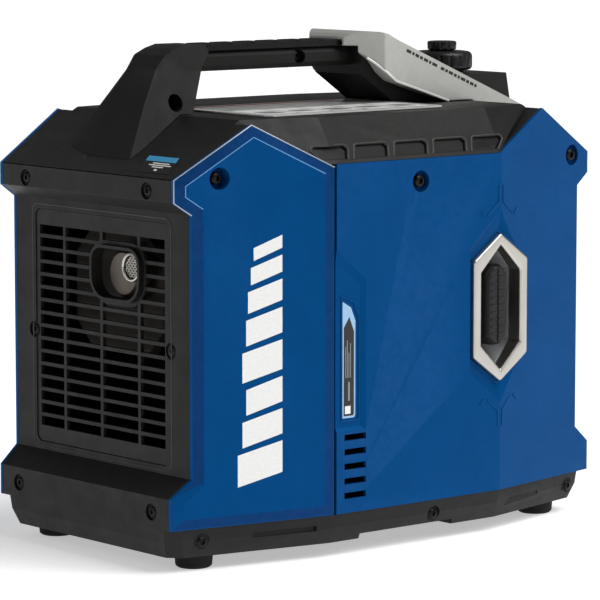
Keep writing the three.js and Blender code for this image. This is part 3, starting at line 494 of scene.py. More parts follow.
def merged(skins: Iterable[Skin]) -> Skin:
    """Puts several skins into one.

    Args:
        skins: points and faces of each.

    Returns:
        Points and faces of them all.
    """
    points, faces, count = [], [], 0
    for p, f in skins:
        points.append(p)
        faces += [[i + count for i in face] for face in f]
        count += len(p)
    return np.concatenate(points), faces


def around(axis: Sequence[float]) -> tuple[np.ndarray, np.ndarray, np.ndarray]:
    """Returns an axis as a unit direction, and two directions square to it and to each other."""
    along = Vector(axis).normalized()
    across = along.orthogonal().normalized()
    return np.array(along), np.array(across), np.array(along.cross(across))


def revolved(
    profile: Sequence[tuple[float, float]], centre: Sequence[float], axis: Sequence[float], sides: int = 32,
    lobes: int = 0, lobe_mm: float = 0.0, lobe_span: tuple[float, float] = (0.0, 0.0),
) -> Skin:
    """A turned shape: each (height, radius) of the profile swept round the axis, r(t) = radius - dip(t).

    Args:
        profile: heights along the axis and radii, in millimetres.
        centre: the axis's foot, in metres.
        axis: its direction.
        sides: points round.
        lobes: flutes round the rim, where radius gets a cosine dip of lobe_mm.
        lobe_mm: depth of each flute.
        lobe_span: heights between which the flutes are cut.

    Returns:
        Points and faces.
    """
    along, across, third = around(axis)
    turn = np.arange(sides) / sides * 2 * np.pi
    rows = np.array(profile, float)
    dip = np.zeros((len(rows), sides))
    if lobes:
        inside = (rows[:, 0] >= lobe_span[0]) & (rows[:, 0] <= lobe_span[1])
        dip[inside] = lobe_mm * np.clip(np.cos(turn * lobes), 0, 1) ** 2
    radius = (rows[:, 1:] - dip) * MM
    height = rows[:, :1] * MM * np.ones(sides)
    return swept(
        np.array(centre)
        + height[..., None] * along
        + (radius * np.cos(turn))[..., None] * across
        + (radius * np.sin(turn))[..., None] * third
    )


FLAT_DEG = 3.0  # faces that turn less than this from each other are one flat face


def weigh_edges(
    mesh: bpy.types.Mesh, sharp_deg: float, crease_deg: float = 5.0, long_mm: float = 22.0
) -> None:
    """Joins flat faces and gives bevel weight to real edges: sharp ones, and long shallow creases.

    Args:
        mesh: the mesh to change.
        sharp_deg: an edge with a larger angle is a real edge.
        crease_deg: a long edge with a larger angle is a real crease.
        long_mm: length from which a shallow edge counts as long.
    """
    shape = bmesh.new()
    shape.from_mesh(mesh)
    bmesh.ops.remove_doubles(shape, verts=shape.verts, dist=2e-5)
    bmesh.ops.dissolve_limit(
        shape, angle_limit=math.radians(FLAT_DEG), verts=shape.verts, edges=shape.edges,
        use_dissolve_boundaries=False,
    )
    weight = shape.edges.layers.float.new("bevel_weight_edge")
    for edge in shape.edges:
        angle = math.degrees(edge.calc_face_angle(0.0))
        shallow = angle > crease_deg and edge.calc_length() > long_mm * MM
        edge[weight] = 1.0 if angle > sharp_deg else 0.5 if shallow else 0.0
        edge.smooth = not (shallow and angle <= sharp_deg) if angle < sharp_deg else True
    shape.to_mesh(mesh)
    shape.free()


def refined(
    node: str, finish: Finish, width_mm: float = 0.8, segments: int = 2, angle: float = 28.0
) -> bpy.types.Object:
    """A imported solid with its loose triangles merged, flat faces joined and edges rounded.

    Args:
        node: the solid's name.
        finish: what it is made of.
        width_mm: width of the rounding.
        segments: faces across the rounding.
        angle: edges sharper than this, in degrees, are rounded fully.

    Returns:
        The piece that stands for the solid.
    """
    source = frame["nodes"][node]
    mesh = source.data.copy()
    mesh.name = f"{node}_made"
    weigh_edges(mesh, angle)
    mesh.materials.clear()
    mesh.materials.append(finish.material)
    piece = bpy.data.objects.new(f"{node}_made", mesh)
    bpy.context.scene.collection.objects.link(piece)
    mesh.shade_smooth()
    rounding = piece.modifiers.new("rounding", "BEVEL")
    rounding.width = width_mm * MM
    rounding.segments = segments
    rounding.limit_method = "WEIGHT"
    rounding.use_clamp_overlap = True
    rounding.loop_slide = True
    shading = piece.modifiers.new("shading", "WEIGHTED_NORMAL")
    shading.weight = 100
    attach(piece, source["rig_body"])
    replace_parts(piece, node)
    finish.slot
    log.info("%s: %d faces before rounding", piece.name, len(mesh.polygons))
    return piece


# ---------------------------------------- the machine
@dataclass
class Shell:
    """The moulded shell: base, ends, side panels and top cover."""

    edge_mm: float = 1.4
    slat_edge_mm: float = 0.5
    panel_edge_mm: float = 1.0
    facet_deg: float = 20.0

    def build(self) -> None:
        """Dresses every moulding of the shell."""
        for node in ("base_tray", "exhaust_end_cover", "control_end_cover", "top_cover"):
            refined(node, Finish.BLACK_SHELL, self.edge_mm)
        refined("exhaust_grille", Finish.BLACK_SHELL, self.slat_edge_mm, 1)
        for node in ("pad_panel_near", "pad_panel_far", "service_panel_near", "service_panel_far"):
            refined(node, Finish.BLUE_PANEL, self.panel_edge_mm, 2, self.facet_deg)
        for number in (1, 2, 3, 4):
            refined(f"foot_{number}", Finish.BLACK_RUBBER, 0.8)
        refined("deck_plate", Finish.DECK_PLATE, 0.3)


@dataclass
class Handle:
    """Carry handle, its rubber pad and the silver yoke."""

    def build(self) -> None:
        """Dresses the handle."""
        refined("carry_handle", Finish.BLACK_SHELL, 2.2, 3)
        refined("handle_grip_pad", Finish.BLACK_RUBBER, 1.0, 2)
        refined("handle_yoke", Finish.SILVER_TRIM, 1.6, 3)


@dataclass
class Inside:
    """Pieces behind the shell, which show only through the openings, and the small fittings: each row says a
    finish, the width of the rounding in mm where there is one, and the solids that have them.
    """

    fittings: tuple[tuple[Finish, float, str], ...] = (
        (Finish.BEZEL_METAL, 2.4, "hex_bezel"),
        (Finish.WELL_GREY, 0.6, "recoil_well"),
        (Finish.BLACK_SATIN, 1.2, "recoil_grip"),
        (Finish.BLACK_RUBBER, 0.3, "cap_gasket"),
        (Finish.STEEL, 0.4, "filler_neck"),
        (Finish.SOOTY_STEEL, 1.0, "exhaust_outlet"),
        # the spark arrestor's dark sheet is painted shade: it makes the holes of the mesh in front read dark
        (Finish.DARK_SHEET, 0.2, "spark_arrestor"),
        (Finish.HOT_STEEL, 1.5, "muffler"),
        (Finish.DARK_SHEET, 0.3, "muffler_shroud"),
        (Finish.GREY_PLASTIC, 0.5, "control_panel"),
        (Finish.BLACK_INK, 0.4, "display_window"),
        (Finish.BLACK_SATIN, 0.5, "ac_socket_1 ac_socket_2"),
        (Finish.BLACK_SHELL, 0.6, "socket_lid_1 socket_lid_2"),
        (Finish.BLACK_SATIN, 0.4, "dc_socket"),
        (Finish.BLACK_SATIN, 0.3, "usb_port"),
        (Finish.STEEL, 0.3, "ground_terminal"),
        (Finish.RED_PLASTIC, 0.6, "engine_switch_knob"),
        (Finish.BLACK_SATIN, 0.4, "eco_rocker"),
        (Finish.WHITE_PLASTIC, 0.5, "reset_button"),
        (Finish.SCREW_STEEL, 0.3, "panel_screw_1 panel_screw_2 panel_screw_3"),
    )
    plain: tuple[tuple[Finish, str], ...] = (
        (Finish.BLACK_SATIN, "fuel_tank cooling_fan fan_shroud air_filter_box oil_dipstick"),
        (Finish.ALLOY, "recoil_housing engine_block cylinder carburettor inverter_module"),
        (Finish.GREY_PLASTIC, "recoil_pulley"),
        (Finish.WHITE_PLASTIC, "spark_plug"),
        (Finish.BLACK_RUBBER, "plug_cap"),
        (Finish.STEEL, "crankshaft"),
        (Finish.WINDINGS, "alternator_stator"),
        (Finish.HOT_STEEL, "alternator_rotor"),
    )

    def build(self) -> None:
        """Rounds and dresses the fittings, and dresses the inner solids as they are."""
        for finish, edge_mm, nodes in self.fittings:
            for node in nodes.split():
                refined(node, finish, edge_mm)
        for finish, nodes in self.plain:
            for node in nodes.split():
                frame["nodes"][node].data.materials.clear()
                frame["nodes"][node].data.materials.append(finish.material)


# ---------------------------------------- places
SEAM_X, WELL_X, WELL_Z = -97.0, 117.0, 224.0
HALF_WIDTH, END_TAPER, TAPER_END = 167.0, 28.0, 250.0
DECK_Z, DECK_HALF, UPPER_X, SHOULDER_DROP = 419.0, 180.0, 266.0, 51.0
PLATE_TOP = DECK_Z + 2.0
LEVEL, STEEP = 0.5, 0.86  # how a step off a sloping face splits into level and upright parts
SIDES = ((-1, "near"), (1, "far"))


def side_at(x: np.ndarray | float) -> np.ndarray | float:
    """Half the shell's width in mm at x: level from the seam to the well, then drawn in towards each end."""
    left = np.maximum(0, SEAM_X - x) / (TAPER_END + SEAM_X)
    right = np.maximum(0, x - WELL_X) / (TAPER_END - WELL_X)
    return HALF_WIDTH - END_TAPER * (left + right)


def near_side(points: np.ndarray, rise: float) -> np.ndarray:
    """Points (x, z) on the near side panel, lifted off it by rise, all in mm, as x, y, z in metres."""
    p = np.asarray(points, float)
    return np.stack([p[:, 0], -side_at(p[:, 0]) - rise, p[:, 1]], 1) * MM


def end_face(at: float) -> Place:
    """Place for marks on an end wall that faces -X (or +X if at is positive): points are (y, z) in mm."""
    way = math.copysign(1.0, at)

    def place(points: np.ndarray, rise: float) -> np.ndarray:
        """The points at their depth along X."""
        p = np.asarray(points, float)
        return np.stack([np.full(len(p), at + way * rise), p[:, 0], p[:, 1]], 1) * MM

    return place


def end_slope(points: np.ndarray, rise: float) -> np.ndarray:
    """Points (x, y) on the cover's slope over the exhaust, lifted off it by rise, as x, y, z in metres."""
    p = np.asarray(points, float)
    z = DECK_Z - (np.abs(p[:, 0]) - DECK_HALF) * SHOULDER_DROP / (UPPER_X - DECK_HALF)
    return np.stack([p[:, 0] - LEVEL * rise, p[:, 1], z + STEEP * rise], 1) * MM


def deck(points: np.ndarray, rise: float) -> np.ndarray:
    """Points (x, y) on the deck plate, lifted off it by rise, as x, y, z in metres."""
    p = np.asarray(points, float)
    return np.stack([p[:, 0], p[:, 1], np.full(len(p), PLATE_TOP + rise)], 1) * MM


def upright(y: float, way: float = -1.0) -> Place:
    """Place for marks on a flat upright face that looks along Y: points are (x, z) in mm."""

    def place(points: np.ndarray, rise: float) -> np.ndarray:
        """The points at their depth along Y."""
        p = np.asarray(points, float)
        return np.stack([p[:, 0], np.full(len(p), y + way * rise), p[:, 1]], 1) * MM

    return place


# ---------------------------------------- small pieces
def box_outline(
    a0: float, a1: float, b0: float, b1: float, corner: float = 0.0, steps: int = 3
) -> np.ndarray:
    """Outline of a rectangle whose corners are arcs of the given radius."""
    if not corner:
        return np.array([(a0, b0), (a1, b0), (a1, b1), (a0, b1)], float)
    turns = np.radians(np.linspace(0, 90, steps + 1))
    left, right, low, high = a0 + corner, a1 - corner, b0 + corner, b1 - corner
    arcs = []
    for start, (a, b) in zip((180, 270, 0, 90), ((left, low), (right, low), (right, high), (left, high))):
        t = turns + math.radians(start)
        arcs.append(np.stack([a + corner * np.cos(t), b + corner * np.sin(t)], 1))
    return np.concatenate(arcs)


def plates(
    name: str, outlines: Sequence[np.ndarray], place: Place, finish: Finish, thick_mm: float,
    lift_mm: float = 0.0,
) -> bpy.types.Object:
    """Thin flat plates, such as printed marks, each a prism between its outline and the outline lifted off it.

    Args:
        name: the piece's name.
        outlines: closed outlines in mm.
        place: turns outline points and a rise into x, y, z in metres.
        finish: what they are made of.
        thick_mm: thickness.
        lift_mm: how far their backs stand off the face.

    Returns:
        The new object.
    """
    skins = [swept(np.stack([place(line, lift_mm + up) for up in (0, thick_mm)])) for line in outlines]
    return mesh_piece(name, *merged(skins), finish)


def carried(
    path: np.ndarray, out: Sequence[float] | np.ndarray, profile: np.ndarray, closed: bool = False
) -> Skin:
    """A profile carried along a path: at each point it lies across the mean of the two directions there.

    Args:
        path: one row of x, y, z in metres for each point.
        out: direction that the profile's second value points to, one for all or one for each point.
        profile: (across, out) pairs in mm, going round.
        closed: whether the path closes on itself.

    Returns:
        Points and faces.
    """
    path = np.asarray(path, float)
    before, after = np.roll(path, 1, 0), np.roll(path, -1, 0)
    if not closed:
        before[0], after[-1] = path[0], path[-1]
    size = lambda vectors: np.linalg.norm(vectors, axis=1)[:, None]
    one, two = path - before, after - path
    one /= np.maximum(size(one), 1e-12)
    two /= np.maximum(size(two), 1e-12)
    along = (one + two) / size(one + two)
    out = np.broadcast_to(np.asarray(out, float), path.shape)
    across = np.cross(out, along)
    across /= size(across)
    part = np.where(size(two) > 0.5, two, one)
    stretch = 1.0 / np.clip((along * part).sum(1), 0.5, 1)[:, None, None]
    profile = np.asarray(profile, float) * MM
    aside, off = profile[None, :, :1] * across[:, None], profile[None, :, 1:] * out[:, None]
    rows = path[:, None] + aside * stretch + off
    if not closed:
        return swept(rows)
    count, sides = rows.shape[:2]
    wrapped = np.concatenate([rows, rows[:1]])
    faces = quad_grid(count + 1, sides) % (count * sides)
    return rows.reshape(-1, 3), faces.tolist()


def half_round(width: float, height: float, steps: int = 4) -> np.ndarray:
    """Profile of a ridge: half an ellipse, width across and height out, in mm, on a flat foot."""
    t = np.linspace(0, np.pi, steps + 1)
    return np.stack([-width / 2 * np.cos(t), height * np.sin(t)], 1)[::-1]


SUNK_MM = -0.05  # a ridge's foot lies this far under the face that it stands on


def ridges(
    name: str, paths: Sequence[np.ndarray], place: Place, out: Sequence[float], finish: Finish,
    width: float, height: float, closed: bool = False, body: str = "shell",
) -> bpy.types.Object:
    """Raised half-round ridges along paths on a face.

    Args:
        name: the piece's name.
        paths: points on the face in mm.
        place: turns them and a rise into x, y, z in metres.
        out: direction off the face.
        finish: what they are made of.
        width: width in mm.
        height: height in mm.
        closed: whether each path closes on itself.
        body: the body that carries them.

    Returns:
        The new object.
    """
    section = half_round(width, height)
    skins = [carried(place(np.asarray(path, float), SUNK_MM), out, section, closed) for path in paths]
    return mesh_piece(name, *merged(skins), finish, body)


def socket_head(
    name: str, foot: Sequence[float], axis: Sequence[float], radius: float = 5.0, height: float = 2.0
) -> bpy.types.Object:
    """A domed screw head with a six-sided socket: rings round the axis whose inner ones follow a hexagon,
    r(t) = apothem / cos of the angle to the nearest flat.

    Args:
        name: the piece's name.
        foot: middle of its underside, in mm.
        axis: direction that it faces.
        radius: its radius in mm.
        height: its height in mm.

    Returns:
        The new object.
    """
    along, across, third = around(axis)
    t = np.arange(24) / 24 * 2 * np.pi
    flat = (t + np.pi / 6) % (np.pi / 3) - np.pi / 6
    hexagon = 0.46 * radius / np.cos(flat)
    rim = np.full(24, radius)
    rings = [(0.0, rim), (0.55, rim), (0.85, 0.88 * rim), (1.0, 0.68 * rim), (1.0, hexagon + 0.15),
             (0.9, hexagon), (0.15, hexagon * 0.97)]
    turned = np.cos(t)[:, None] * across + np.sin(t)[:, None] * third
    rows = [np.array(foot) + h * height * along + r[:, None] * turned for h, r in rings]
    return mesh_piece(name, *swept(np.stack(rows) * MM), Finish.SCREW_STEEL)


# ---------------------------------------- graphics and trim
@dataclass
class SideGraphics:
    """Printed marks and moulded lines of the long sides: stripes on the pads, a darker band painted as shade
    over each pad's chamfer and light lines painted as highlights along its edges, the label in the nook, the
    creases round the starter well.
    """

    pad_rise: float = 3.0

    def build(self) -> None:
        """Builds them all."""
        self.stripes()
        self.pad_edges()
        self.nook_label()
        self.creases()

    def stripes(self) -> None:
        """A column of white bars on the pad, all slanted alike, broader towards the foot."""
        outlines = []
        right, foot, rise, space = -156.0, 84.0, 5.5, 6.5
        for tall, wide in ((30, 47), (24, 42), (24, 38), (28, 42), (24, 38), (20, 36), (16, 33), (12, 30)):
            left, top = right - wide, foot + tall
            lower = [(left, foot - rise), (right, foot + rise)]
            outlines.append(lower + [(right, top + rise), (left, top - rise)])
            foot = top + space
        place = lambda points, rise: near_side(points, self.pad_rise + rise)
        plates("pad_stripes", outlines, place, Finish.WHITE_INK, 0.15, 0.05)

    def pad_edges(self) -> None:
        """A darker blue band over each pad's chamfer, painted as shade, and a pale line along its outer edge
        and a light blue one where its face begins, both painted highlights.
        """
        outline = np.array([(-98.5, 42.4), (-269.6, 42.4), (-269.6, 72), (-248, 89), (-248, 335), (-266, 347),
                            (-266, 368), (-186, 416), (-98.5, 373.4)])
        inner = np.array([(-110, 52.4), (-259, 52.4), (-259, 67.2), (-238, 83.7), (-238, 340.6),
                          (-256, 352.6), (-256, 362.4), (-185.6, 404.8), (-110, 368)])
        first = 4  # the lines show from the top of the upright edge onwards
        for way, side in SIDES:
            place = lambda points, rise, way=way: near_side(points, rise) * np.array([1, -way, 1])
            lifted = lambda points, rise, place=place: place(points, rise + self.pad_rise)
            edge = outline + (inner - outline) * 0.1
            loop = [lifted(inner, 0.06), place(edge, 0.46), place(edge, -0.2), lifted(inner, -0.6)]
            rows = np.stack(loop, 1)
            skin = swept(np.concatenate([rows, rows[:1]]), False)
            # a darker blue band over the chamfer: painted shade
            mesh_piece(f"pad_bevel_shade_{side}", *skin, Finish.BLUE_BEVEL)
            out = (0, way, 0)
            # pale and light blue lines along the edges: painted highlights
            ridges(f"pad_outer_highlight_{side}", [outline[first:]], place, out, Finish.PALE_EDGE, 1.1, 0.9)
            ridges(f"pad_face_edge_{side}", [inner[first:]], lifted, out, Finish.BLUE_EDGE, 1.0, 0.35)

    def nook_label(self) -> None:
        """The narrow label in the nook: pale frame, dark field, fine bars and a small block."""
        face = upright(-HALF_WIDTH + 2.2)
        rim = [(-88, 131), (-67, 131), (-66, 134), (-66, 228), (-73, 244), (-88, 250)]
        ridges("nook_rim", [rim], face, (0, -1, 0), Finish.BLUE_PANEL, 2.0, 1.2, True)
        outer = [(-86.5, 133.5), (-72, 133.5), (-70.5, 136), (-70.5, 226), (-76, 239), (-86.5, 245)]
        inner = [(-85, 135.5), (-73, 135.5), (-72.2, 137), (-72.2, 216), (-78, 230), (-85, 220)]
        talls = (30, 36, 24, 33)
        bars = [box_outline(2 * i - 83, 2 * i - 82.2, 172, 172 + tall) for i, tall in enumerate(talls)]
        bars.append(box_outline(-79.5, -77.5, 150, 168))
        block = box_outline(-83.5, -76.5, 137.5, 145)
        plates("nook_label_frame", [outer], face, Finish.PALE_BLUE_INK, 0.15)
        plates("nook_label_field", [inner], face, Finish.BLACK_INK, 0.08, 0.15)
        plates("nook_label_bars", bars, face, Finish.GREY_INK, 0.05, 0.23)
        plates("nook_label_block", [block], face, Finish.WHITE_INK, 0.05, 0.23)

    def creases(self) -> None:
        """Forked raised lines above and below the well, with a short dash beside each fork."""
        x, top, foot = WELL_X, WELL_Z + 98, WELL_Z - 96
        paths = []
        for z, up in ((top, 1.0), (foot, -1.0)):
            for way in (-1, 1):
                spots = ((3, 22), (3, 6), (18, -6)), ((27, -2), (22, -7))
                paths += [[(x + a * way, z + b * up) for a, b in line] for line in spots]
        ridges("well_creases", paths, near_side, (0, -1, 0), Finish.BLUE_PANEL, 2.2, 1.1)


@dataclass
class CoverTrim:
    """Rims of the scoops (a lighter painted highlight) with dark plates in them (painted shade), the label on
    the sloping end, a painted highlight and marks on the yoke, and the deck plate.
    """

    first_x: float = -102.0
    pitch: float = 50.5
    strip_foot: float = 376.0
    scoops: int = 5
    lean: float = 26.0 / 43.0
    out: float = 0.86
    up: float = 0.52

    def build(self) -> None:
        """Builds them all."""
        self.scoop_rims()
        self.slope_label()
        self.yoke_highlight()
        self.yoke_marks()
        self.deck_marks()

    def scoop_rims(self) -> None:
        """A raised rim for each scoop, a lighter black than the shell as a painted highlight, and a dark floor
        plate in it as painted shade, on both strips.
        """

        def strip(way: float) -> Place:
            """Place on the leaning strip of one side: points are (x, z) in mm."""

            def place(points: np.ndarray, rise: float) -> np.ndarray:
                """The points at their depth on the strip."""
                p = np.asarray(points, float)
                depth = np.minimum(side_at(p[:, 0]), HALF_WIDTH) - (p[:, 1] - self.strip_foot) * self.lean
                return np.stack([p[:, 0], way * (depth + rise * self.out), p[:, 1] + rise * self.up], 1) * MM

            return place

        rims, floors = [], []
        for i in range(self.scoops):
            x = self.first_x + self.pitch * i
            start, end = x - (21.5 if i else 8.5), x + (22.5 if i < self.scoops - 1 else 13.5)
            foot, top = self.strip_foot + 3.2, self.strip_foot + 17.2
            rims.append([(start, foot), (x - 16.8, top - 4.5), (x - 15.4, top - 1.4), (x - 12, top),
                         (x + 22.4, top), (x + 25.6, top - 1.2), (x + 26.6, top - 4.2), (end, foot)])
            foot, top = foot + 1.2, top - 1.6
            floors.append([(start + 1, foot), (end - 1, foot), (x + 24.4, top - 3), (x + 21.6, top),
                           (x - 11.8, top), (x - 14.6, top - 3)])
        for way, side in SIDES:
            # dark plates on the scoops' floors: painted shade
            plates(f"scoop_floor_shade_{side}", floors, strip(way), Finish.BLACK_RUBBER, 0.25, -2.6)
            out = (0, way * self.out, self.up)
            # rims a lighter black than the shell: a painted highlight
            ridges(f"scoop_rims_{side}", rims, strip(way), out, Finish.BLACK_EDGE, 1.9, 1.1)

    def slope_label(self) -> None:
        """The label beside the handle's foot: pale blue header, dark field and fine bars."""
        skew = lambda u, v: (-236.5 - 23 * v, -62 - 48 * u - 10.5 * v)
        quad = lambda u0, u1, v0, v1: [skew(u0, v0), skew(u1, v0), skew(u1, v1), skew(u0, v1)]
        bars = [quad(0.3, 0.82, 0.42, 0.47), quad(0.22, 0.9, 0.53, 0.58), quad(0.35, 0.7, 0.64, 0.69),
                quad(0.48, 0.56, 0.78, 0.88)]
        header = quad(0.03, 0.97, 0.05, 0.34)
        plates("slope_label_field", [quad(0, 1, 0, 1)], end_slope, Finish.BLACK_INK, 0.15, 0.5)
        plates("slope_label_header", [header], end_slope, Finish.SKY_BLUE_INK, 0.05, 0.65)
        plates("slope_label_bars", bars, end_slope, Finish.WHITE_INK, 0.05, 0.65)

    def yoke_highlight(self) -> None:
        """A bright ridge along the lower edge of each of the yoke's arms: a painted highlight."""
        for way, side in SIDES:
            path = np.array([(50, way * 43.5, 466), (56, way * 49.4, 460.5), (66, way * 56.3, 451.2),
                             (78, way * 56.3, 442.4), (148, way * 56.3, 420.2)]) * MM
            skin = carried(path, (0, way, 0), half_round(2.6, 0.9))
            # bright ridge: a painted highlight
            mesh_piece(f"yoke_highlight_{side}", *skin, Finish.BRIGHT_EDGE)

    def yoke_marks(self) -> None:
        """Fine dark dashes in a slanted row along the yoke's near arm."""
        start, step, up = np.array([91.0, 471.0]), np.array([0.924, -0.383]), np.array([0.383, 0.924])
        marks, at, tall = [], 0.0, 3.0
        for word in ((6.5, 3, 5, 4, 6, 3, 7), (5, 3.5, 6, 4, 3, 6.5, 4, 5, 3)):
            for long in word:
                a, b = start + step * at, start + step * (at + long)
                marks.append([a, b, b + up * tall, a + up * tall])
                at += long + 1.6
            at += 4.0
        plates("yoke_marks", marks, upright(-56.0), Finish.BLACK_INK, 0.1, 0.02)

    def deck_marks(self) -> None:
        """Picture frames and bars printed on the deck plate."""
        plates("deck_shade", [box_outline(-137.5, 87.5, 26, 117.5, 5)], deck, Finish.BLACK_SHELL, 0.04)
        frames = [box_outline(x, x + 36, -106, -50, 3) for x in range(-128, 82, 42)]
        plates("deck_frames", frames, deck, Finish.WHITE_INK, 0.08)
        dark = [box_outline(-122 + 42 * i, -98 + 42 * i, -98 + 6 * (i % 2), -74, 4) for i in range(5)]
        plates("deck_pictures", dark, deck, Finish.GREY_INK, 0.05, 0.08)
        plates("deck_heading", [box_outline(-128, 60, 10, 20)], deck, Finish.RED_INK, 0.05)
        bars = [box_outline(-128, 60 - 17 * (i % 3), -40 + 9 * i, -37 + 9 * i) for i in range(5)]
        plates("deck_bars", bars, deck, Finish.BLACK_INK, 0.05)


@dataclass
class Screws:
    """Socket-head screws in their seats, all round the shell."""

    end_pairs: tuple = ((105.0, 57.0, 267.2), (107.0, 206.0, 245.2), (95.0, 356.0, 263.2))
    tray_spots: tuple = ((-235.0, 29.0), (32.0, 28.0), (240.0, 29.0))
    panel_spots: tuple = ((-221.0, 368.0), (11.0, 354.0), (238.0, 366.0))
    tray_tilt: float = 0.19
    tray_depth: float = 5.6
    panel_depth: float = 6.8
    bar_spot: tuple[float, float, float] = (-17.0, -13.0, 469.0)

    def build(self) -> None:
        """Builds every screw head, and a dark disc on the floor of every seat as painted shade."""
        # dark discs in the seats: painted shade
        self.floors("end_seat_shade", self.ends(), 7.0, 0.35, Finish.BLACK_RUBBER)
        self.floors("tray_seat_shade", self.tray(), 7.2, 0.5, Finish.BLACK_RUBBER)
        self.floors("panel_seat_shade", self.panels(), 10.2, 0.0, Finish.BLUE_BEVEL)
        socket_head("bar_screw", self.bar_spot, (0, -1, 0), 4.0, 2.4)

    def ends(self) -> list:
        """Three pairs at each end. Returns where each stands and the way that it faces."""
        spots = []
        for i, (y, z, x) in enumerate(self.end_pairs, 1):
            for side, called in SIDES:
                for way, end in ((-1, "exhaust"), (1, "control")):
                    spots.append(((way * x, side * y, z), (way, 0, 0)))
                    socket_head(f"{end}_end_screw_{i}_{called}", *spots[-1])
        return spots

    def tray(self) -> list:
        """Three pairs along the tray. Returns where each stands and the way that it faces."""
        spots = []
        for i, (x, z) in enumerate(self.tray_spots, 1):
            tilt = 0.0 if SEAM_X < x < WELL_X else math.copysign(self.tray_tilt, x)
            for side, called in SIDES:
                spots.append(((x, side * (side_at(x) - self.tray_depth), z), (tilt, side, 0)))
                socket_head(f"tray_screw_{i}_{called}", *spots[-1], 5.0, 2.2)
        return spots

    def panels(self) -> list:
        """Three on each long side. Returns where the near seats' floors are and the way that they face."""
        for i, (x, z) in enumerate(self.panel_spots, 1):
            socket_head(f"panel_screw_head_{i}", (x, 3.2 - side_at(x), z), (0, -1, 0), 5.6, 2.4)
            socket_head(f"far_screw_head_{i}", (x, side_at(x) - 0.2, z), (0, 1, 0), 5.6, 2.4)
        return [((x, self.panel_depth - side_at(x), z), (0, -1, 0)) for x, z in self.panel_spots]

    def floors(self, name: str, spots: list, radius: float, lift: float, finish: Finish) -> None:
        """Thin dark discs under the screws of one sort, painted shade on the floors of their seats.

        Args:
            name: the piece's name.
            spots: where each screw stands, in mm, and the way that it faces.
            radius: the discs' radius in mm.
            lift: how far their backs stand off the screws' feet, in mm.
            finish: what they are made of.
        """
        disc = [(lift, radius), (lift + 0.1, radius)]
        skins = [revolved(disc, np.array(foot) * MM, axis, 28) for foot, axis in spots]
        mesh_piece(name, *merged(skins), finish)


@dataclass
class Exhaust:
    """The woven mesh in the spout, its bright lip, and lighter lines along the groove round the grille and the
    cover's fold, drawn as painted highlights.
    """

    spout: tuple[float, float] = (-44.0, 279.0)
    spout_x: float = -243.0
    mesh_radius: float = 10.2
    wire_radius: float = 0.42
    wire_pitch: float = 2.3
    wire_swing: float = 0.4

    def build(self) -> None:
        """Builds them."""
        self.weave()
        lip = [(0.0, 11.2), (0.0, 13.9), (1.6, 13.4), (1.8, 12.2), (1.0, 11.2)]
        foot = np.array([self.spout_x - 1.2, *self.spout]) * MM
        points, faces = revolved(lip + lip[:1], foot, (-1, 0, 0), 40)
        mesh_piece("spout_lip", points, faces[:-2], Finish.BEZEL_METAL)
        frame_path = box_outline(-108.5, 108.5, 92.5, 329.5, 8)
        face, out = end_face(-248.0), (-1, 0, 0)
        # lighter lines on the groove and the fold: painted highlights
        ridges("grille_groove_highlight", [frame_path], face, out, Finish.BLACK_EDGE, 1.2, 0.5, True)
        fold = [(-201.6, 68.7), (-255, 16.7)]
        ridges("cover_fold_highlight", [fold], end_slope, (-LEVEL, 0, STEEP), Finish.BLACK_EDGE, 1.0, 0.4)

    def weave(self) -> None:
        """Two crossing sets of wires in a circle, the height of each a sine of the distance along it."""
        turn = np.arange(5)[:, None] / 5 * 2 * np.pi
        ring = self.wire_radius * np.concatenate([np.cos(turn), np.sin(turn)], 1)
        skins = []
        for way in (0, 1):
            for k in range(-4, 5):
                off = k * self.wire_pitch
                reach = math.sqrt(self.mesh_radius**2 - off**2)
                s = np.linspace(-reach, reach, 28)
                rise = self.wire_swing * np.sin((s / self.wire_pitch + k % 2 + way) * np.pi)
                a, b = (s, np.full_like(s, off))[:: 1 - 2 * way]
                path = np.stack([self.spout_x + rise, self.spout[0] + a, self.spout[1] + b], 1) * MM
                skins.append(carried(path, (-1, 0, 0), ring))
        mesh_piece("spark_mesh", *merged(skins), Finish.BEZEL_METAL)


@dataclass
class Starter:
    """The ribbed pull grip and the rope that pays out behind it."""

    grip_front_y: float = -163.0
    rope_radius: float = 2.2

    def build(self) -> None:
        """Builds the ribs and the rope."""
        place = upright(self.grip_front_y)
        paths = [[(WELL_X + way * 1.2, WELL_Z + 2 + 7.0 * k), (WELL_X + way * 8.8, WELL_Z + 2 + 7.0 * k)]
                 for k in range(-4, 5) for way in (-1, 1)]
        ridges("grip_ribs", paths, place, (0, -1, 0), Finish.BLACK_SATIN, 2.4, 0.9, body="starter_grip")
        seam = [[(WELL_X, WELL_Z - 34), (WELL_X, WELL_Z + 38)]]
        ridges("grip_seam", seam, place, (0, -1, 0), Finish.BLACK_RUBBER, 1.4, 1.1, body="starter_grip")
        self.rope()

    def rope(self) -> None:
        """A straight round rope that runs from the housing out towards the grip."""
        start, end, rings, sides = -7.0, -109.0, 60, 14
        turn = np.arange(sides) / sides * 2 * np.pi
        x, z = WELL_X + self.rope_radius * np.cos(turn), WELL_Z + self.rope_radius * np.sin(turn)
        y = np.linspace(start, end, rings)[:, None]
        rows = np.stack(np.broadcast_arrays(x, y, z), -1) * MM
        rope = mesh_piece("starter_rope_made", *swept(rows[:, ::-1]), Finish.ROPE, "")
        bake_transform(rope)
        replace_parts(rope, "starter_rope")


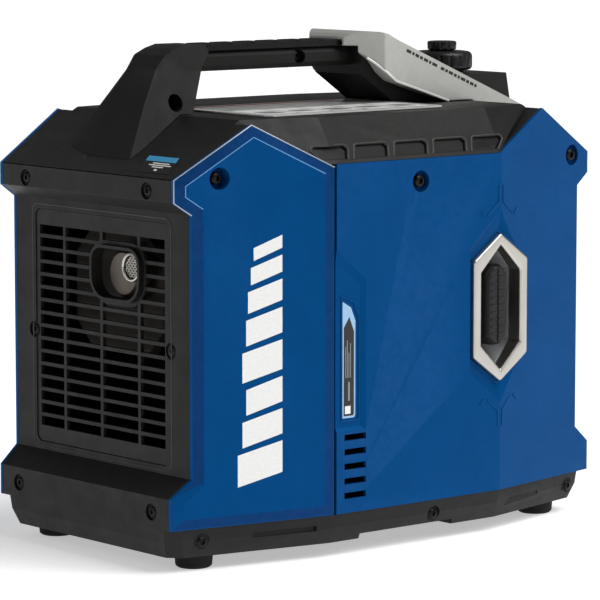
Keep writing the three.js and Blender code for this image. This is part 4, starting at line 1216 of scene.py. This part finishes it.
@dataclass
class FuelCap:
    """The fluted fuel cap and the vent knob on it."""

    centre: tuple[float, float] = (190.0, 0.0)
    lid_z: float = 447.9
    knob_lift: float = 19.4

    def build(self) -> None:
        """Builds both as turned shapes with cosine flutes round their rims."""
        foot = np.array([*self.centre, self.lid_z]) * MM
        cap = [(0, 0.01), (0, 28.6), (0.6, 29.4), (2, 30.6), (3, 31), (4, 31), (14, 31), (15.2, 30.6),
               (17, 29.4), (18.2, 27.6), (18.8, 24), (19, 16), (19, 0.01)]
        skin = revolved(cap, foot, (0, 0, 1), 216, 18, 1.5, (3.5, 14.5))
        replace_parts(mesh_piece("fuel_cap_made", *skin, Finish.BLACK_SATIN, "filler_cap"), "fuel_cap")
        seat = foot + np.array([0, 0, self.knob_lift]) * MM
        knob = [(0, 0.01), (0, 12.2), (0.8, 14), (1.5, 14.6), (2.2, 14.8), (7.6, 15), (8.6, 14.6),
                (9.3, 13.4), (9.5, 11), (9.5, 0.01)]
        skin = revolved(knob, seat, (0, 0, 1), 144, 12, 1.2, (2, 8))
        piece = mesh_piece("cap_vent_knob_made", *skin, Finish.BLACK_SATIN, "vent_knob")
        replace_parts(piece, "cap_vent_knob")


@dataclass
class ControlFace:
    """Printed marks round the outlets and switches of the control end."""

    face_x: float = 247.0
    window_x: float = 249.6
    rings: tuple = (((-62.0, 268.0), 21.0), ((26.0, 214.0), 18.0))
    labels: tuple = ((-62, 234), (-18, 230), (26, 237), (70, 230), (-46, 184), (46, 184), (0, 128))

    def build(self) -> None:
        """Builds them."""
        place = end_face(self.face_x)
        turn = np.linspace(0, 2 * np.pi, 40, endpoint=False)[:, None]
        circle = np.concatenate([np.cos(turn), np.sin(turn)], 1)
        rings = [np.array(centre) + radius * circle for centre, radius in self.rings]
        ridges("switch_rings", rings, place, (1, 0, 0), Finish.WHITE_INK, 0.8, 0.15, True)
        bars = [box_outline(6 * i - 74, 6 * i - 70, 293, 295) for i in range(5)]
        bars += [box_outline(y - 7, y + 7, z, z + 1.8) for y, z in self.labels]
        plates("panel_marks", bars, place, Finish.WHITE_INK, 0.1)
        segments = []
        for y in range(6, 66, 15):
            segments += [box_outline(y + 2, y + 9, z, z + 1.6) for z in (258, 268.2, 278.4)]
            segments += [box_outline(y + a, y + a + 1.6, z, z + 8.8) for z in (259.5, 269.8) for a in (0, 9.4)]
        plates("display_digits", segments, end_face(self.window_x), Finish.PALE_BLUE_INK, 0.1)


@dataclass
class Studio:
    """Pale floor, soft lights and the camera."""

    focal_mm: float = 212.5
    place: tuple[float, float, float] = (-2.2601, -2.6747, 0.6498)
    heading_deg: float = 49.8
    fall_deg: float = 6.92

    middle: tuple[float, float, float] = (0.0, 0.0, 0.25)
    room: float = 0.15
    floor_span: float = 30.0

    def build(self) -> None:
        """Builds the floor, the lights and the camera."""
        self.floor()
        self.light("high_window", "SUN", towards=(0.5, -0.8, 1.6), energy=2.0, angle=math.radians(40.0))
        self.light("side_box", "AREA", (-2.6, 0.6, 1.7), energy=6.0, size=1.2)
        self.light("front_box", "AREA", (1.6, -2.6, 1.9), energy=22.0, size=1.2)
        self.camera()
        world = bpy.data.worlds.new("pale_room")
        bpy.context.scene.world = world
        world.use_nodes = True
        world.node_tree.nodes["Background"].inputs["Color"].default_value = WHITE
        world.node_tree.nodes["Background"].inputs["Strength"].default_value = self.room
        bpy.context.scene.view_settings.view_transform = "Standard"

    def floor(self) -> None:
        """Lays the floor just under the feet."""
        mesh = bpy.data.meshes.new("floor")
        far = self.floor_span
        mesh.from_pydata([(-far, -far, 0), (far, -far, 0), (far, far, 0), (-far, far, 0)], [], [(0, 1, 2, 3)])
        floor = bpy.data.objects.new("floor", mesh)
        bpy.context.scene.collection.objects.link(floor)
        material = bpy.data.materials.new("pale_floor")
        material.use_nodes = True
        shader = material.node_tree.nodes["Principled BSDF"]
        matt = {"Base Color": linear("#f4f4f4"), "Roughness": 0.9, "Specular IOR Level": 0.0,
                "Emission Color": WHITE, "Emission Strength": 0.45}
        for socket, value in matt.items():
            shader.inputs[socket].default_value = value
        mesh.materials.append(material)

    def stand(self, thing: bpy.types.Object, place: Sequence[float], ahead: Vector) -> None:
        """Puts a lamp or the camera in its place, looking ahead."""
        thing.location = place
        thing.rotation_mode = "QUATERNION"
        thing.rotation_quaternion = ahead.to_track_quat("-Z", "Y")
        bpy.context.scene.collection.objects.link(thing)

    def light(
        self, name: str, kind: str, place: Sequence[float] = (0, 0, 0), towards: Sequence[float] = (),
        **settings: float,
    ) -> None:
        """Adds one lamp that points at the machine.

        Args:
            name: the lamp's name.
            kind: "AREA" for a soft square lamp, "SUN" for even light from far off.
            place: where it hangs, in metres.
            towards: direction in which a far source lies.
            settings: the lamp's own properties.
        """
        data = bpy.data.lights.new(name, kind)
        for key, value in settings.items():
            setattr(data, key, value)
        ahead = -Vector(towards) if towards else Vector(self.middle) - Vector(place)
        self.stand(bpy.data.objects.new(name, data), place, ahead)

    def camera(self) -> None:
        """Sets up the camera."""
        data = bpy.data.cameras.new("camera")
        data.lens = self.focal_mm
        data.clip_end = 100.0
        camera = bpy.data.objects.new("camera", data)
        heading, fall = math.radians(self.heading_deg), math.radians(self.fall_deg)
        level = math.cos(fall)
        ahead = Vector((level * math.cos(heading), level * math.sin(heading), -math.sin(fall)))
        self.stand(camera, self.place, ahead)
        bpy.context.scene.camera = camera


def main() -> None:
    """Builds and dresses the whole machine, then the studio."""
    logging.basicConfig(level=logging.INFO, format="%(message)s")
    for assembly in (
        Shell, Handle, Inside, SideGraphics, CoverTrim, Screws, Exhaust, Starter, FuelCap, ControlFace, Studio
    ):
        assembly().build()


if __name__ == "__main__":
    main()
